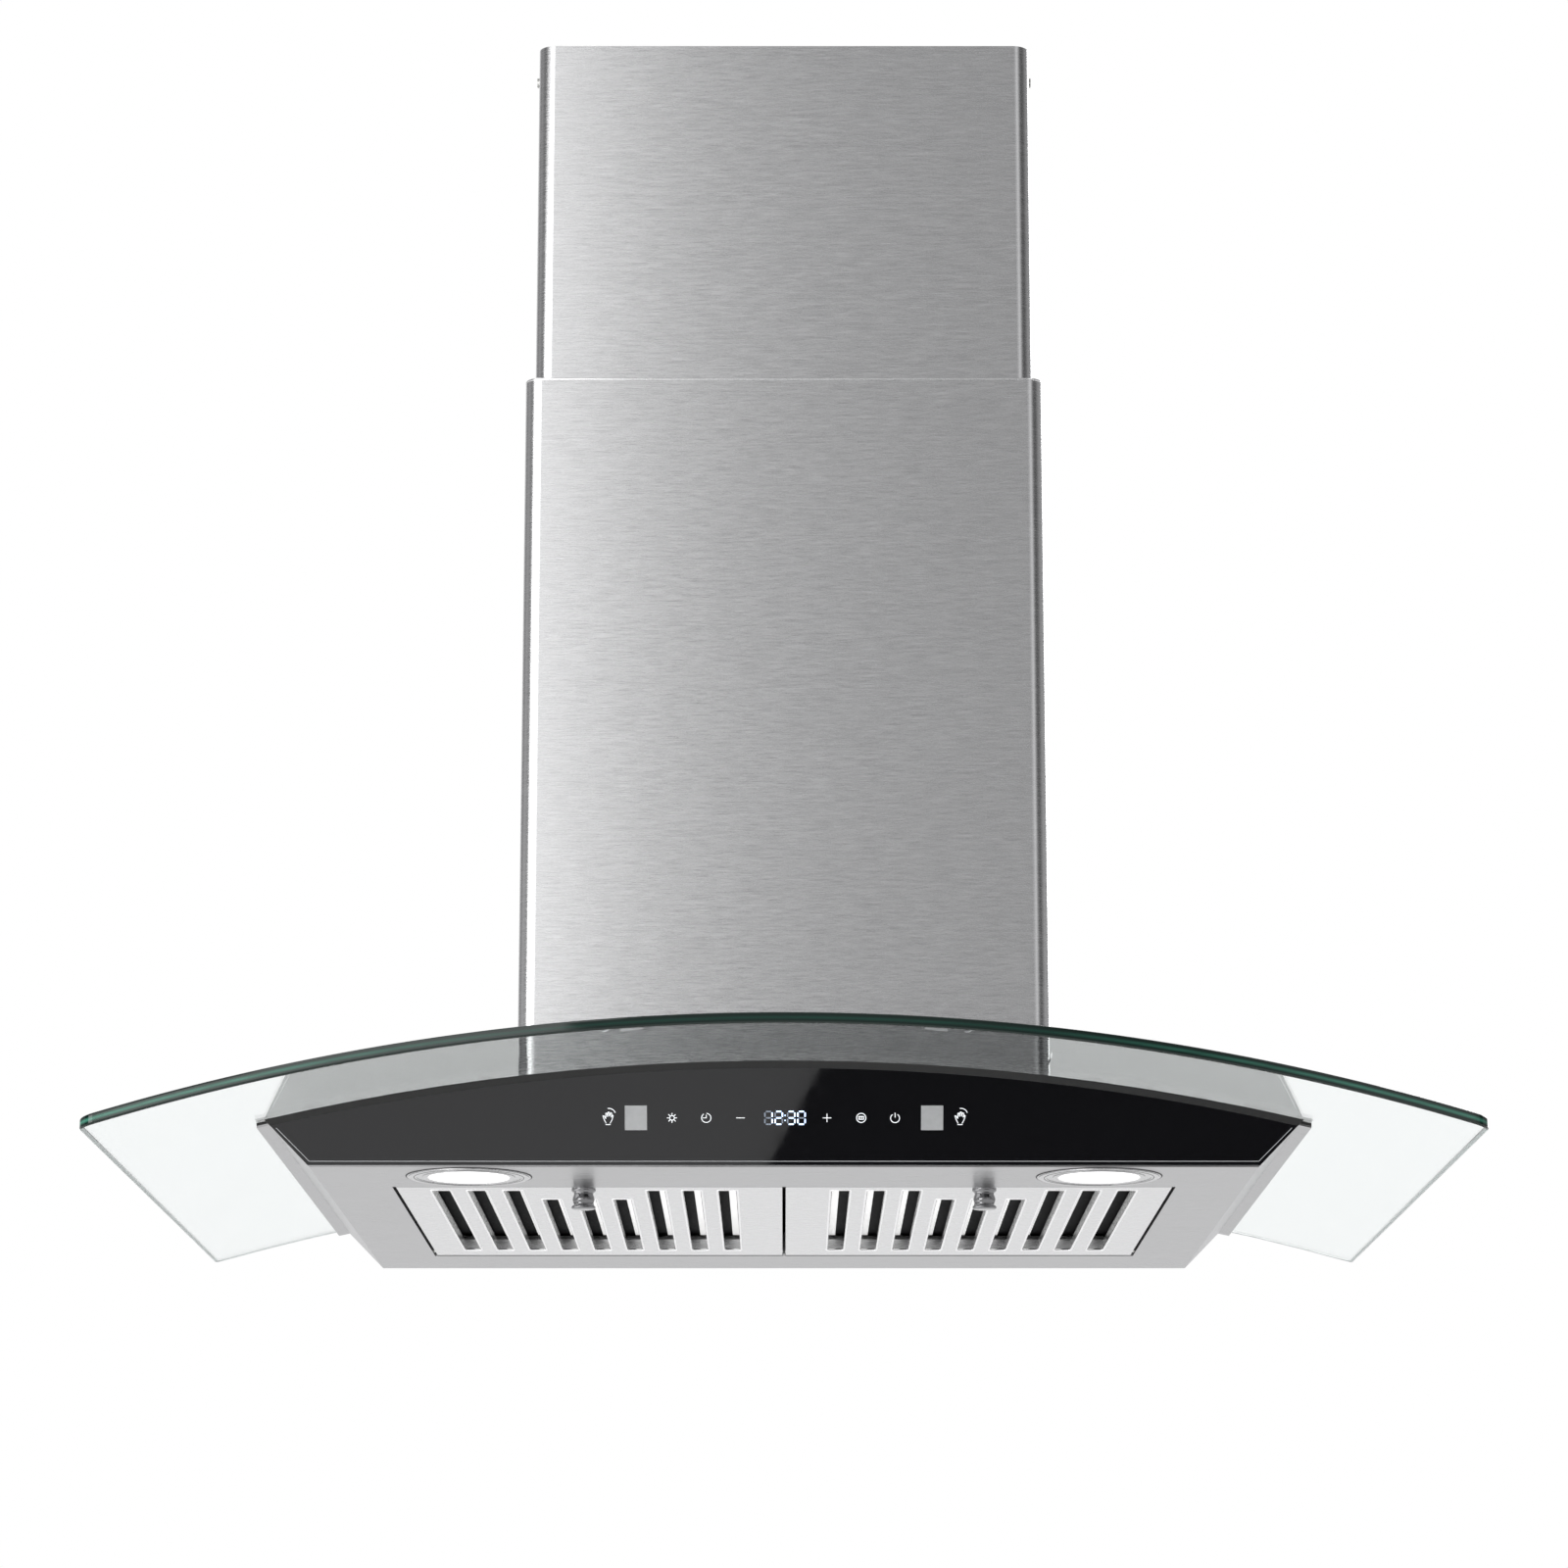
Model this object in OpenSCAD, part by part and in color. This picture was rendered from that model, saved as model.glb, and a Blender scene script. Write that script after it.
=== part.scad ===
// Island range hood: an arched glass canopy over a slim steel body, hung from the ceiling by a
// telescopic frame behind a two-part chimney cover.
// +X is to the right, -Y towards the controls, +Z up. The origin is the middle of the upper face
// of the ceiling plate. Hood pieces are drawn with their own z = 0 at the underside of the body.

/* [Hanging] */
// Ceiling down to the underside of the body
hang_h = 703; // [570:1:840]
// How far the hood can be raised from there
travel_up = 200; // [0:5:200]
// How far the hood can be lowered from there
travel_down = 140; // [0:5:140]

/* [Glass canopy] */
// Width of the glass
glass_w = 750; // [640:2:900]
// Depth of the glass along its straight sides
glass_d = 578; // [490:2:700]
// How far the front edge bows forward at its middle
glass_bow = 22; // [8:1:40]
// Rise of the arch from the tips to the middle
glass_rise = 53; // [44:1:66]
// Thickness of the glass
glass_t = 6; // [5:0.5:8]
// Radius of the front corners
glass_corner_r = 9; // [4:0.5:20]
// Radius of the back corners
glass_back_r = 4; // [2:0.5:12]
// Height of the glass tips above the underside of the body
tip_lift = 3.3; // [2:0.1:8]

/* [Body] */
// Width of the underside
body_w = 528.6; // [500:0.2:600]
// Depth of the underside
body_d = 460; // [440:1:520]
// Steel sheet of the body
sheet = 1; // [0.8:0.1:1.2]
// Angle of the flared side walls, from upright
flare = 44.3; // [30:0.1:50]
// Angle at which the control panel leans forward, from upright
lean = 21.8; // [12:0.1:28]
// Width of the ledge outside the side walls that carries the glass
ledge = 5; // [3:0.5:8]
// Thickness of the rubber seal under the glass
seal_t = 1.5; // [1:0.1:2.5]
// Height of the seal bar above the control panel
bar_h = 4; // [3:0.5:6]

/* [Control panel] */
// Thickness of the black glass
panel_t = 4; // [3:0.5:5]
// Height of the row of symbols above the lower edge
row_h = 28; // [22:1:32]
// Width of the clock display
display_w = 27; // [20:1:36]
// Height of the clock display
display_h = 10.3; // [8:0.1:14]
// Width of a hand sensor window
sensor_w = 12.3; // [8:0.1:14]
// Height of a hand sensor window
sensor_h = 14; // [8:0.5:16]
// Distance of a sensor window from the middle
sensor_x = 82.3; // [75:0.1:90]

/* [Lamps] */
// Outer radius of the trim ring
lamp_r = 35; // [28:0.5:36]
// Radius of the white lens
lens_r = 23.2; // [16:0.2:26]
// Distance of a lamp from the middle
lamp_x = 178; // [150:1:205]
// Distance of a lamp behind the front edge
lamp_y = 37; // [36.5:0.5:44]
// Height of the lamp housing above the underside
lamp_h = 22; // [16:1:26]

/* [Filters] */
// Width of the opening that both filters close
opening_w = 450; // [420:2:480]
// Depth of that opening
opening_d = 316; // [280:1:330]
// Distance of the opening behind the front edge
opening_y = 79; // [77:1:95]
// Height of the fold around the opening
fold_h = 12; // [8:1:14]
// Gap between a filter and the fold
filter_gap = 2; // [1.5:0.1:3]
// Height of a filter
filter_h = 14; // [12:1:16]
// Distance between slots
slot_pitch = 20.7; // [18:0.1:21.4]
// Width of a slot
slot_w = 11.5; // [7:0.5:12]
// How far the slots and the knob sit outwards of a filter's middle
slot_shift = 3.5; // [0:0.5:4]
// Radius of the rod that the filters hook onto
rod_r = 1.5; // [1.2:0.1:1.6]
// Radius of the knob at its ends
knob_r = 7; // [5:0.5:9]
// Height of the knob
knob_h = 11.5; // [8:0.5:16]
// Travel of the latch
latch_travel = 6; // [4:0.5:7]

/* [Chimney] */
// Width of the lower cover
lower_w = 310; // [260:1:372]
// Depth of the lower cover
lower_d = 290; // [242:1:330]
// Top of the lower cover above the underside of the body
lower_top = 489; // [470:1:500]
// Length of the upper cover
upper_h = 400; // [380:1:420]
// Steel sheet of the covers
cover_t = 1; // [0.8:0.1:1.2]
// Radius of the upright corners
cover_r = 10; // [6:0.5:14]
// Gap between the two covers
cover_gap = 4.5; // [3:0.5:6]

/* [Hanging frame] */
// Width of each side of the angle bars
angle_w = 20; // [16:1:22]
// Thickness of the angle bars
angle_t = 2; // [1.5:0.1:3]
// Length of the upper angle bars
upper_leg_h = 420; // [400:1:430]
// Top of the lower angle bars above the underside of the body
lower_leg_top = 480; // [460:1:485]
// Radius of the holes for the ceiling bolts
ceiling_hole_r = 4.5; // [3:0.1:6]
// Radius of the duct hole in the ceiling plate
duct_hole_r = 82; // [78:1:84]

/* [Blower] */
// Width of the spiral casing
scroll_w = 110; // [90:2:130]
// Growth of the spiral from its start to its outlet
scroll_growth = 21; // [14:1:26]
// Number of blades
blades = 32; // [20:1:40]
// Radius of the motor shaft
shaft_r = 4; // [3:0.5:5]
// Outer radius of the duct collar
collar_r = 76; // [70:0.5:77]
// Height of the duct collar
collar_h = 50; // [45:1:60]

/* [Hidden] */
$fn = 96;

steel = "#c9cacc";
dark_steel = "#8d9094";
zinc = "#aeb2b6";
black = "#141416";
clear_glass = "#9fd3c0";

// Arch of the glass: a circle through the tips and the raised middle
half_w = glass_w / 2;
under_r = (half_w * half_w + glass_rise * glass_rise) / (2 * glass_rise);
arch_z = tip_lift + glass_rise - under_r;
crown_z = tip_lift + glass_rise;
arch_fn = 360;
// Height of the underside of the glass at a distance x from the middle
function under_z(x) = arch_z + sqrt(under_r * under_r - x * x);

// Plan of the glass and body
half_d = body_d / 2;
glass_front = half_d - glass_d;
bow_r = (half_w * half_w + glass_bow * glass_bow) / (2 * glass_bow);
bow_y = glass_front - glass_bow + bow_r;
deep = 2 * glass_d;
tall = crown_z + 10;

// Body walls
flare_slope = tan(flare);
lean_slope = tan(lean);
wall_x = wall_top_x();
plate_top_gap = seal_t;
plate_low_gap = seal_t + sheet;
// Where the outside of a side wall meets the underside of the glass
function wall_top_x(x = 0, n = 12) =
    n == 0 ? x : wall_top_x(body_w / 2 + flare_slope * under_z(x), n - 1);

// Chimney covers and the frame inside them
upper_w = lower_w - 2 * (cover_t + cover_gap);
upper_d = lower_d - 2 * (cover_t + cover_gap);
leg_room = 4;
nest_gap = 0.5;
upper_leg_x = upper_w / 2 - cover_t - leg_room;
upper_leg_y = upper_d / 2 - cover_t - leg_room;
lower_leg_x = upper_leg_x - angle_t - nest_gap;
lower_leg_y = upper_leg_y - angle_t - nest_gap;
lower_angle_w = angle_w - angle_t;
bar_w = 14;
plate_t = 2;
foot_t = 3;
foot_lift = 2;
foot_room = 1;
foot_out_x = lower_w / 2 - cover_t - foot_room;
foot_out_y = lower_d / 2 - cover_t - foot_room;
foot_z = under_z(lower_leg_x - lower_angle_w) + glass_t + foot_lift;
frame_bolt_r = 2.5;
frame_bolt_z = lower_leg_top - 15;
frame_slot_gap = 0.2;
slot_end = 6;
ceiling_hole_x = upper_leg_x - angle_w - 9;
ceiling_hole_y = upper_leg_y - angle_w - 9;

// Bolts through the glass
glass_bolt_r = 3;
glass_hole_r = 4.5;
bolt_head_r = 4.6;
glass_bolt_x = lower_w / 2 - cover_t - bolt_head_r - foot_room - 0.6;
glass_bolt_y = lower_d / 2 - cover_t - bolt_head_r - foot_room - 0.6;
nut_h = 4;
nut_z = under_z(glass_bolt_x + bolt_head_r) - plate_low_gap - nut_h - 0.3;

// Box around the blower
box_gap = 2;
box_x = lower_leg_x - lower_angle_w - box_gap;
box_y = lower_leg_y - lower_angle_w - box_gap;
cutout_gap = 3;
box_t = 1;

// Blower
casing_t = 1;
scroll_room = 20;
scroll_turn = 300;
wheel_gap = 6;
scroll_min = (2 * (box_y - box_t) - 2 * scroll_room - 1.4 * scroll_growth) / 2;
scroll_max = scroll_min + scroll_growth;
function scroll_r(a) = scroll_max - scroll_growth * a / scroll_turn;
wheel_r = scroll_min - wheel_gap;
blade_chord = 13;
blade_t = 1;
blade_angle = 35;
ring_w = blade_chord * cos(blade_angle) + 1.2;
wheel_half = scroll_w / 2 - 9;
blower_y = box_y - box_t - scroll_room - scroll_max;
floor_room = 8;
blower_z = crown_z + glass_t + floor_room + scroll_r(90);
neck_top = scroll_r(270) + 5;
duct_h = 30;
box_top = blower_z + neck_top + duct_h;
inlet_r = wheel_r - ring_w + 1;
motor_r = wheel_r - ring_w - 10;
motor_front = 4;
motor_back = scroll_w / 2 + 11;
bush_l = 5;
bush_r = 6;
bush_at = inlet_r + 8;
bracket_t = 2;
shaft_gap = 0.05;
hub_r = 10;
shaft_back = 30;
hub_front = 20;

// Duct collar and its flaps
collar_t = 1;
collar_flange_r = collar_r + 13;
collar_flange_t = 1.5;
collar_screw_r = collar_r + 7;
flap_z = box_top + 15;
flap_t = 1.2;
flap_gap = 1;
flap_rod_r = 1.5;
knuckle_r = 2.9;
knuckle_w = 16;
run_gap = 0.05;
flap_edge = knuckle_r + 0.5;
seat_t = 1;
seat_w = 2.5;
seat_drop = 0.3;

// Filters
fold_t = 1;
opening_front = opening_y - half_d;
opening_back = opening_front + opening_d;
front_gap = 1;
centre_gap = 2;
back_gap = 4;
filter_in = centre_gap / 2;
filter_out = opening_w / 2 - filter_gap;
filter_x = (filter_in + filter_out) / 2 + slot_shift;
filter_front = opening_front + front_gap;
filter_back = opening_back - back_gap;
filter_t = 1;
lip_t = 0.8;
lip_h = 6;
// As many slots as fit between the filter's plain side margins
slot_margin = 14;
slots = floor((filter_out - filter_in - 2 * slot_margin) / slot_pitch);
slot_front = 12;
slot_back = 24.5;
short_slot_front = 49;
hood_z = 11;
hood_drop = 4;
hood_over = 1.4;
rod_y = filter_back - 3;
rod_z = 3;
hook_r = 2.9;
hook_w = 12;
hook_in = 26;

// Latch
plate_z = 1.3;
latch_t = 2;
latch_w = 24;
latch_l = 20;
tongue_w = 16;
tongue_out = 4;
stem_r = 2.4;
stem_gap = 0.4;
knob_y = filter_front + 9;
guide_gap = 0.3;
guide_t = 1;
latch_front = filter_front + filter_t + 1.5;
latch_back = latch_front + latch_l;
spring_l = 11;
spring_r = 2.4;
spring_wire = 0.5;
coils = 11;
coil_h = 1.02;
spring_z = plate_z + 3;

// Lamps
lamp_body_r = lens_r + 3;
lamp_hole_r = lamp_body_r + 1;
lamp_hub_r = 8;
lamp_fin_h = 5;

// Electronics
board_t = 1.6;
board_w = 222;
board_h = 26;
housing_t = 12;
housing_rim = 3;
tile_t = 1;

module hood() translate([0, 0, -hang_h]) children();

module arch_bar(r) translate([0, 0, arch_z]) rotate([90, 0, 0])
    cylinder(r = r, h = 2 * deep, center = true, $fn = arch_fn);

module cyl_x(r, x0, x1) translate([x0, 0, 0]) rotate([0, 90, 0]) cylinder(r = r, h = x1 - x0);

module rounded_block(w, d, h, r) {
    translate([-w / 2 + r, -d / 2, 0]) cube([w - 2 * r, d, h]);
    translate([-w / 2, -d / 2 + r, 0]) cube([w, d - 2 * r, h]);
    for (x = [-1, 1], y = [-1, 1])
        translate([x * (w / 2 - r), y * (d / 2 - r), 0]) cylinder(r = r, h = h);
}

// Everything between the side walls, taken in by a distance from their outside
module between_sides(inset, h = tall) {
    low = body_w / 2 - inset / cos(flare);
    rotate([90, 0, 0]) linear_extrude(height = 2 * deep, center = true)
        polygon([[-low, 0], [low, 0], [low + flare_slope * h, h], [-low - flare_slope * h, h]]);
}

// Everything between the leaning front plane and the back, each taken in by a distance
module between_ends(front_inset, back_inset, h = tall) {
    low = -half_d + front_inset / cos(lean);
    rotate([90, 0, 90]) linear_extrude(height = 2 * glass_w, center = true)
        polygon([[low, 0], [half_d - back_inset, 0], [half_d - back_inset, h],
                 [low - lean_slope * h, h]]);
}

module under_arch(gap) arch_bar(under_r - gap);

module envelope(side, front, back, top) intersection() {
    between_sides(side);
    between_ends(front, back);
    under_arch(top);
}

// A frame with its z axis square to the face of the control panel and its y axis up the slope
module on_panel(x = 0, up = 0) translate([x, -half_d, 0]) rotate([90 + lean, 0, 0])
    translate([0, up, 0]) children();

module corners(x, y) for (i = [-1, 1], j = [-1, 1]) translate([i * x, j * y, 0]) children();

// ---- hanging frame and covers

module ceiling_plate() color(zinc) difference() {
    translate([-upper_leg_x, -upper_leg_y, -plate_t])
        cube([2 * upper_leg_x, 2 * upper_leg_y, plate_t]);
    translate([0, 0, -plate_t - 1]) {
        cylinder(r = duct_hole_r, h = plate_t + 2);
        corners(ceiling_hole_x, ceiling_hole_y) cylinder(r = ceiling_hole_r, h = plate_t + 2);
        translate([gland_x, gland_y, 0]) cylinder(r = cable_hole_r, h = plate_t + 2);
    }
}

// One angle bar standing in the corner at x, y, with its outside faces there
module angle_bar(x, y, w, z0, z1) {
    sx = sign(x);
    sy = sign(y);
    translate([min(x, x - sx * w), min(y, y - sy * angle_t), z0]) cube([w, angle_t, z1 - z0]);
    translate([min(x, x - sx * angle_t), min(y, y - sy * w), z0]) cube([angle_t, w, z1 - z0]);
}

// Four flat bars that tie the angle bars together
module tie_bars(x, y, w, z) {
    for (j = [-1, 1]) translate([-x + w, j * y - (j > 0 ? angle_t : 0), z])
        cube([2 * (x - w), angle_t, bar_w]);
    for (i = [-1, 1]) translate([i * x - (i > 0 ? angle_t : 0), -y + w, z])
        cube([angle_t, 2 * (y - w), bar_w]);
}

module upper_frame() color(zinc) difference() {
    union() {
        for (i = [-1, 1], j = [-1, 1])
            angle_bar(i * upper_leg_x, j * upper_leg_y, angle_w, -upper_leg_h, -plate_t);
        tie_bars(upper_leg_x, upper_leg_y, angle_w, -upper_leg_h);
    }
    slot_low = max(frame_bolt_z - hang_h - travel_down, -upper_leg_h + bar_w) - slot_end;
    slot_high = min(frame_bolt_z - hang_h + travel_up, -plate_t - 2 * slot_end) + slot_end;
    slot_x = upper_leg_x - angle_w / 2;
    width = 2 * (frame_bolt_r + frame_slot_gap);
    for (i = [-1, 1], j = [-1, 1])
        translate([i * slot_x - width / 2, j * (upper_leg_y - angle_t / 2) - angle_t, slot_low])
            cube([width, 2 * angle_t, slot_high - slot_low]);
}

module cover(w, d, z0, z1) difference() {
    translate([0, 0, z0]) rounded_block(w, d, z1 - z0, cover_r);
    translate([0, 0, z0 - 1])
        rounded_block(w - 2 * cover_t, d - 2 * cover_t, z1 - z0 + 2, cover_r - cover_t);
}

screw_r = 1.8;
screw_head_r = 3;
screw_head_h = 1.4;
cover_screw_z = -18;

module upper_chimney() color(steel) difference() {
    cover(upper_w, upper_d, -upper_h, 0);
    for (i = [-1, 1], j = [-1, 1]) translate([0, j * (upper_leg_y - angle_w / 2), cover_screw_z])
        rotate([0, i * 90, 0]) cylinder(r = screw_r, h = upper_w);
}

module chimney_screws() color(zinc) for (i = [-1, 1], j = [-1, 1])
    translate([i * upper_w / 2, j * (upper_leg_y - angle_w / 2), cover_screw_z])
        rotate([0, i * 90, 0]) {
            translate([0, 0, -cover_t - leg_room]) cylinder(r = screw_r, h = cover_t + leg_room);
            cylinder(r = screw_head_r, h = screw_head_h);
        }

module lower_frame() color(zinc) hood() difference() {
    union() {
        for (i = [-1, 1], j = [-1, 1])
            angle_bar(i * lower_leg_x, j * lower_leg_y, lower_angle_w, foot_z, lower_leg_top);
        tie_bars(lower_leg_x, lower_leg_y, lower_angle_w, lower_leg_top - bar_w);
        for (i = [-1, 1], j = [-1, 1]) {
            in_x = lower_leg_x - lower_angle_w;
            in_y = lower_leg_y - lower_angle_w;
            intersection() {
                translate([i > 0 ? in_x : -foot_out_x, j > 0 ? in_y : -foot_out_y, foot_z])
                    cube([foot_out_x - in_x, foot_out_y - in_y, foot_t]);
                foot_outline();
            }
        }
    }
    translate([0, 0, foot_z - 1]) corners(glass_bolt_x, glass_bolt_y)
        cylinder(r = glass_bolt_r, h = foot_t + 2);
    for (i = [-1, 1], j = [-1, 1])
        translate([i * (upper_leg_x - angle_w / 2), j * (lower_leg_y + 1), frame_bolt_z])
            rotate([j * 90, 0, 0]) cylinder(r = frame_bolt_r, h = angle_t + 2);
}

// The room that the cover leaves for the feet, with its round corners
module foot_outline() rounded_block(2 * foot_out_x, 2 * foot_out_y, lower_leg_top, cover_r);

module frame_bolts() color(dark_steel) hood() for (i = [-1, 1], j = [-1, 1])
    translate([i * (upper_leg_x - angle_w / 2), j * lower_leg_y, frame_bolt_z])
        rotate([-j * 90, 0, 0]) {
            translate([0, 0, -angle_t - 3]) cylinder(r = frame_bolt_r, h = angle_t + 3);
            cylinder(r = frame_bolt_r, h = nest_gap + angle_t + 0.4);
            translate([0, 0, nest_gap + angle_t + 0.4])
                cylinder(r = 2 * frame_bolt_r, h = 2);
            translate([0, 0, -angle_t - 3]) cylinder(r = 2 * frame_bolt_r, h = 3);
        }

module lower_chimney() color(steel) hood() difference() {
    cover(lower_w, lower_d, 0, lower_top);
    arch_bar(under_r + glass_t + cover_foot_gap);
}
cover_foot_gap = 0.4;

// Wedges that fill the space between the curved glass and the flat feet
module foot_pads() color(black) hood() difference() {
    in_x = box_x + cutout_gap + 2;
    in_y = box_y + cutout_gap + 2;
    intersection() {
        for (i = [-1, 1], j = [-1, 1]) scale([i, j, 1])
            translate([0, foot_out_y, 0]) rotate([90, 0, 0])
                linear_extrude(height = foot_out_y - in_y)
                    polygon([[in_x, pad_z(in_x)], [foot_out_x, pad_z(foot_out_x)],
                             [foot_out_x, foot_z], [in_x, foot_z]]);
        foot_outline();
    }
    corners(glass_bolt_x, glass_bolt_y) cylinder(r = glass_bolt_r, h = foot_z + 1);
}
pad_ease = 0.08;
function pad_z(x) = arch_z + sqrt((under_r + glass_t) * (under_r + glass_t) - x * x) + pad_ease;

// ---- glass canopy

// Points of a corner arc, turning from angle a0 to a1
function corner_arc(x, y, r, a0, a1, n = 6) =
    [for (k = [0 : n]) let (a = a0 + (a1 - a0) * k / n) [x + r * cos(a), y + r * sin(a)]];

// Outline from above: round corners, straight sides and back, bowed front
module glass_plan() {
    tangent_r = bow_r - glass_corner_r;
    corner_x = half_w - glass_corner_r;
    corner_y = bow_y - sqrt(tangent_r * tangent_r - corner_x * corner_x);
    bow_a = asin(corner_x / tangent_r);
    back_x = half_w - glass_back_r;
    polygon(concat(
        corner_arc(back_x, half_d - glass_back_r, glass_back_r, 90, 0),
        corner_arc(corner_x, corner_y, glass_corner_r, 0, bow_a - 90),
        corner_arc(0, bow_y, bow_r, bow_a - 90 - bow_a / 12, -90 - bow_a + bow_a / 12, 22),
        corner_arc(-corner_x, corner_y, glass_corner_r, -90 - bow_a, -180),
        corner_arc(-back_x, half_d - glass_back_r, glass_back_r, 180, 90)));
}

module glass_canopy() color(clear_glass, 0.4) hood() difference() {
    intersection() {
        linear_extrude(height = tall) glass_plan();
        arch_bar(under_r + glass_t);
    }
    arch_bar(under_r);
    rounded_block(2 * (box_x + cutout_gap), 2 * (box_y + cutout_gap), tall, cutout_gap);
    corners(glass_bolt_x, glass_bolt_y) cylinder(r = glass_hole_r, h = tall);
}

// Outline of the ledge that carries the glass, taken in by a distance
module ledge_block(inset) {
    x = wall_x + ledge - inset;
    intersection() {
        translate([-x, -deep, 0]) cube([2 * x, 2 * deep, tall]);
        between_ends(panel_t + sheet + inset, inset);
    }
}

seal_w = 12;
module glass_seal() color(black) hood() {
    difference() {
        intersection() {
            ledge_block(0);
            under_arch(0);
        }
        ledge_block(seal_w);
        under_arch(seal_t);
    }
    difference() {
        intersection() {
            between_sides(0);
            difference() {
                between_ends(0, 0);
                between_ends(panel_t + sheet, -1);
            }
            under_arch(0);
        }
        under_arch(bar_h);
        envelope(0, panel_t, 0, plate_low_gap);
    }
}

module glass_bolts() color(dark_steel) hood() corners(glass_bolt_x, glass_bolt_y) {
    translate([0, 0, nut_z]) cylinder(r = glass_bolt_r, h = foot_z + foot_t - nut_z);
    translate([0, 0, foot_z + foot_t]) cylinder(r = bolt_head_r, h = 4);
}

module glass_nuts() color(zinc) hood() corners(glass_bolt_x, glass_bolt_y)
    translate([0, 0, nut_z]) difference() {
        cylinder(r = 5.5, h = nut_h, $fn = 6);
        translate([0, 0, -1]) cylinder(r = glass_bolt_r, h = nut_h + 2);
    }

// ---- body

module filter_opening(grow, h) translate([-opening_w / 2 - grow, opening_front - grow, -1])
    cube([opening_w + 2 * grow, opening_d + 2 * grow, h]);

module lamps() for (i = [-1, 1]) translate([i * lamp_x, lamp_y - half_d, 0]) children();

module body_tray() color(steel) hood() difference() {
    union() {
        difference() {
            envelope(0, panel_t, 0, plate_low_gap);
            translate([0, 0, sheet]) envelope_above(sheet, panel_t + sheet, sheet);
        }
        // front edge of the floor, under the panel
        intersection() {
            envelope(0, 0, 0, plate_low_gap);
            translate([-body_w, -body_d, 0]) cube([2 * body_w, body_d, sheet]);
        }
        // fold around the filter opening
        intersection() {
            filter_opening(fold_t, fold_h + 1);
            translate([-body_w, -body_d, 0]) cube([2 * body_w, 2 * body_d, fold_h]);
        }
    }
    filter_opening(0, fold_h + 2);
    translate([0, 0, -1]) lamps() cylinder(r = lamp_hole_r, h = sheet + 2);
    // window behind the control panel for the touch board
    on_panel() translate([-board_w / 2 - 1, row_h - board_h / 2 - 1, -panel_t - sheet - 1])
        cube([board_w + 2, board_h + 2, sheet + 1.5]);
    // holes for the filter rod and slots for the latch tongues
    translate([0, rod_y, rod_z]) cyl_x(rod_r, -opening_w / 2 - 2, opening_w / 2 + 2);
    for (i = [-1, 1]) translate([i * filter_x - tongue_w / 2 - 0.5, opening_front - 2, plate_z - 0.5])
        cube([tongue_w + 1, 3, latch_t + 1]);
}

// Inside of the body, walls taken in as given, open at the top
module envelope_above(side, front, back) translate([0, 0, -sheet]) intersection() {
    between_sides(side);
    between_ends(front, back);
    translate([-body_w, -body_d, sheet]) cube([2 * body_w, 2 * body_d, tall]);
}

module top_plate() color(steel) hood() difference() {
    intersection() {
        ledge_block(0);
        under_arch(plate_top_gap);
    }
    under_arch(plate_low_gap);
    rounded_block(2 * (box_x + 1), 2 * (box_y + 1), tall, cutout_gap);
    corners(glass_bolt_x, glass_bolt_y) cylinder(r = glass_bolt_r, h = tall);
}

// ---- control panel

module control_panel() color(black) hood() difference() {
    intersection() {
        between_sides(0);
        difference() {
            between_ends(0, 0);
            between_ends(panel_t, -1);
        }
        under_arch(bar_h);
        translate([-body_w, -body_d, sheet]) cube([2 * body_w, 2 * body_d, tall]);
    }
    display_pocket();
    sensor_pockets();
}

module tile(w, h) translate([-w / 2, -h / 2, -tile_t]) cube([w, h, tile_t]);
module display_pocket() on_panel(0, row_h) tile(display_w, display_h);
module sensor_pockets() for (i = [-1, 1]) on_panel(i * sensor_x, row_h) tile(sensor_w, sensor_h);

module display_window() color("#20242c") hood() display_pocket();
module sensor_windows() color("#7d7f82") hood() sensor_pockets();

module touch_board() color("#1f6b3a") hood() on_panel(0, row_h)
    translate([-board_w / 2, -board_h / 2, -panel_t - board_t]) cube([board_w, board_h, board_t]);

module touch_housing() color("#2b2c2f") hood() on_panel(0, row_h) difference() {
    w = board_w + 2 * housing_rim + 2;
    h = board_h + 2 * housing_rim + 2;
    back = panel_t + sheet + housing_t;
    translate([-w / 2, -h / 2, -back]) cube([w, h, housing_t]);
    translate([-board_w / 2 - 1, -board_h / 2 - 1, -back + 2])
        cube([board_w + 2, board_h + 2, housing_t]);
}

power_x = -110;
power_size = [150, 44, 30];
power_wall = 2;
plug_x = 20;
plug_w = 12;
power_gap = 4;
module power_module() color("#2b2c2f") hood()
    translate([power_x, opening_back + fold_t + power_gap, sheet]) difference() {
        cube(power_size);
        translate([1, 1, 1] * power_wall) cube(power_size - [2, 2, 2] * power_wall);
        translate([plug_x, -1, (power_size.z - plug_w) / 2])
            cube([plug_w, power_wall + 2, plug_w]);
    }

driver_x = 62;
driver_size = [96, 38, 20];
driver_ear = 8;
driver_strap = [10, 2];
module lamp_driver() color("#e6e6e2") hood()
    translate([driver_x, opening_back + fold_t + power_gap + 2, sheet]) {
        cube(driver_size);
        translate([-driver_ear, (driver_size.y - driver_strap.x) / 2, 0])
            cube([driver_size.x + 2 * driver_ear, driver_strap.x, driver_strap.y]);
    }

// ---- lamps

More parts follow.
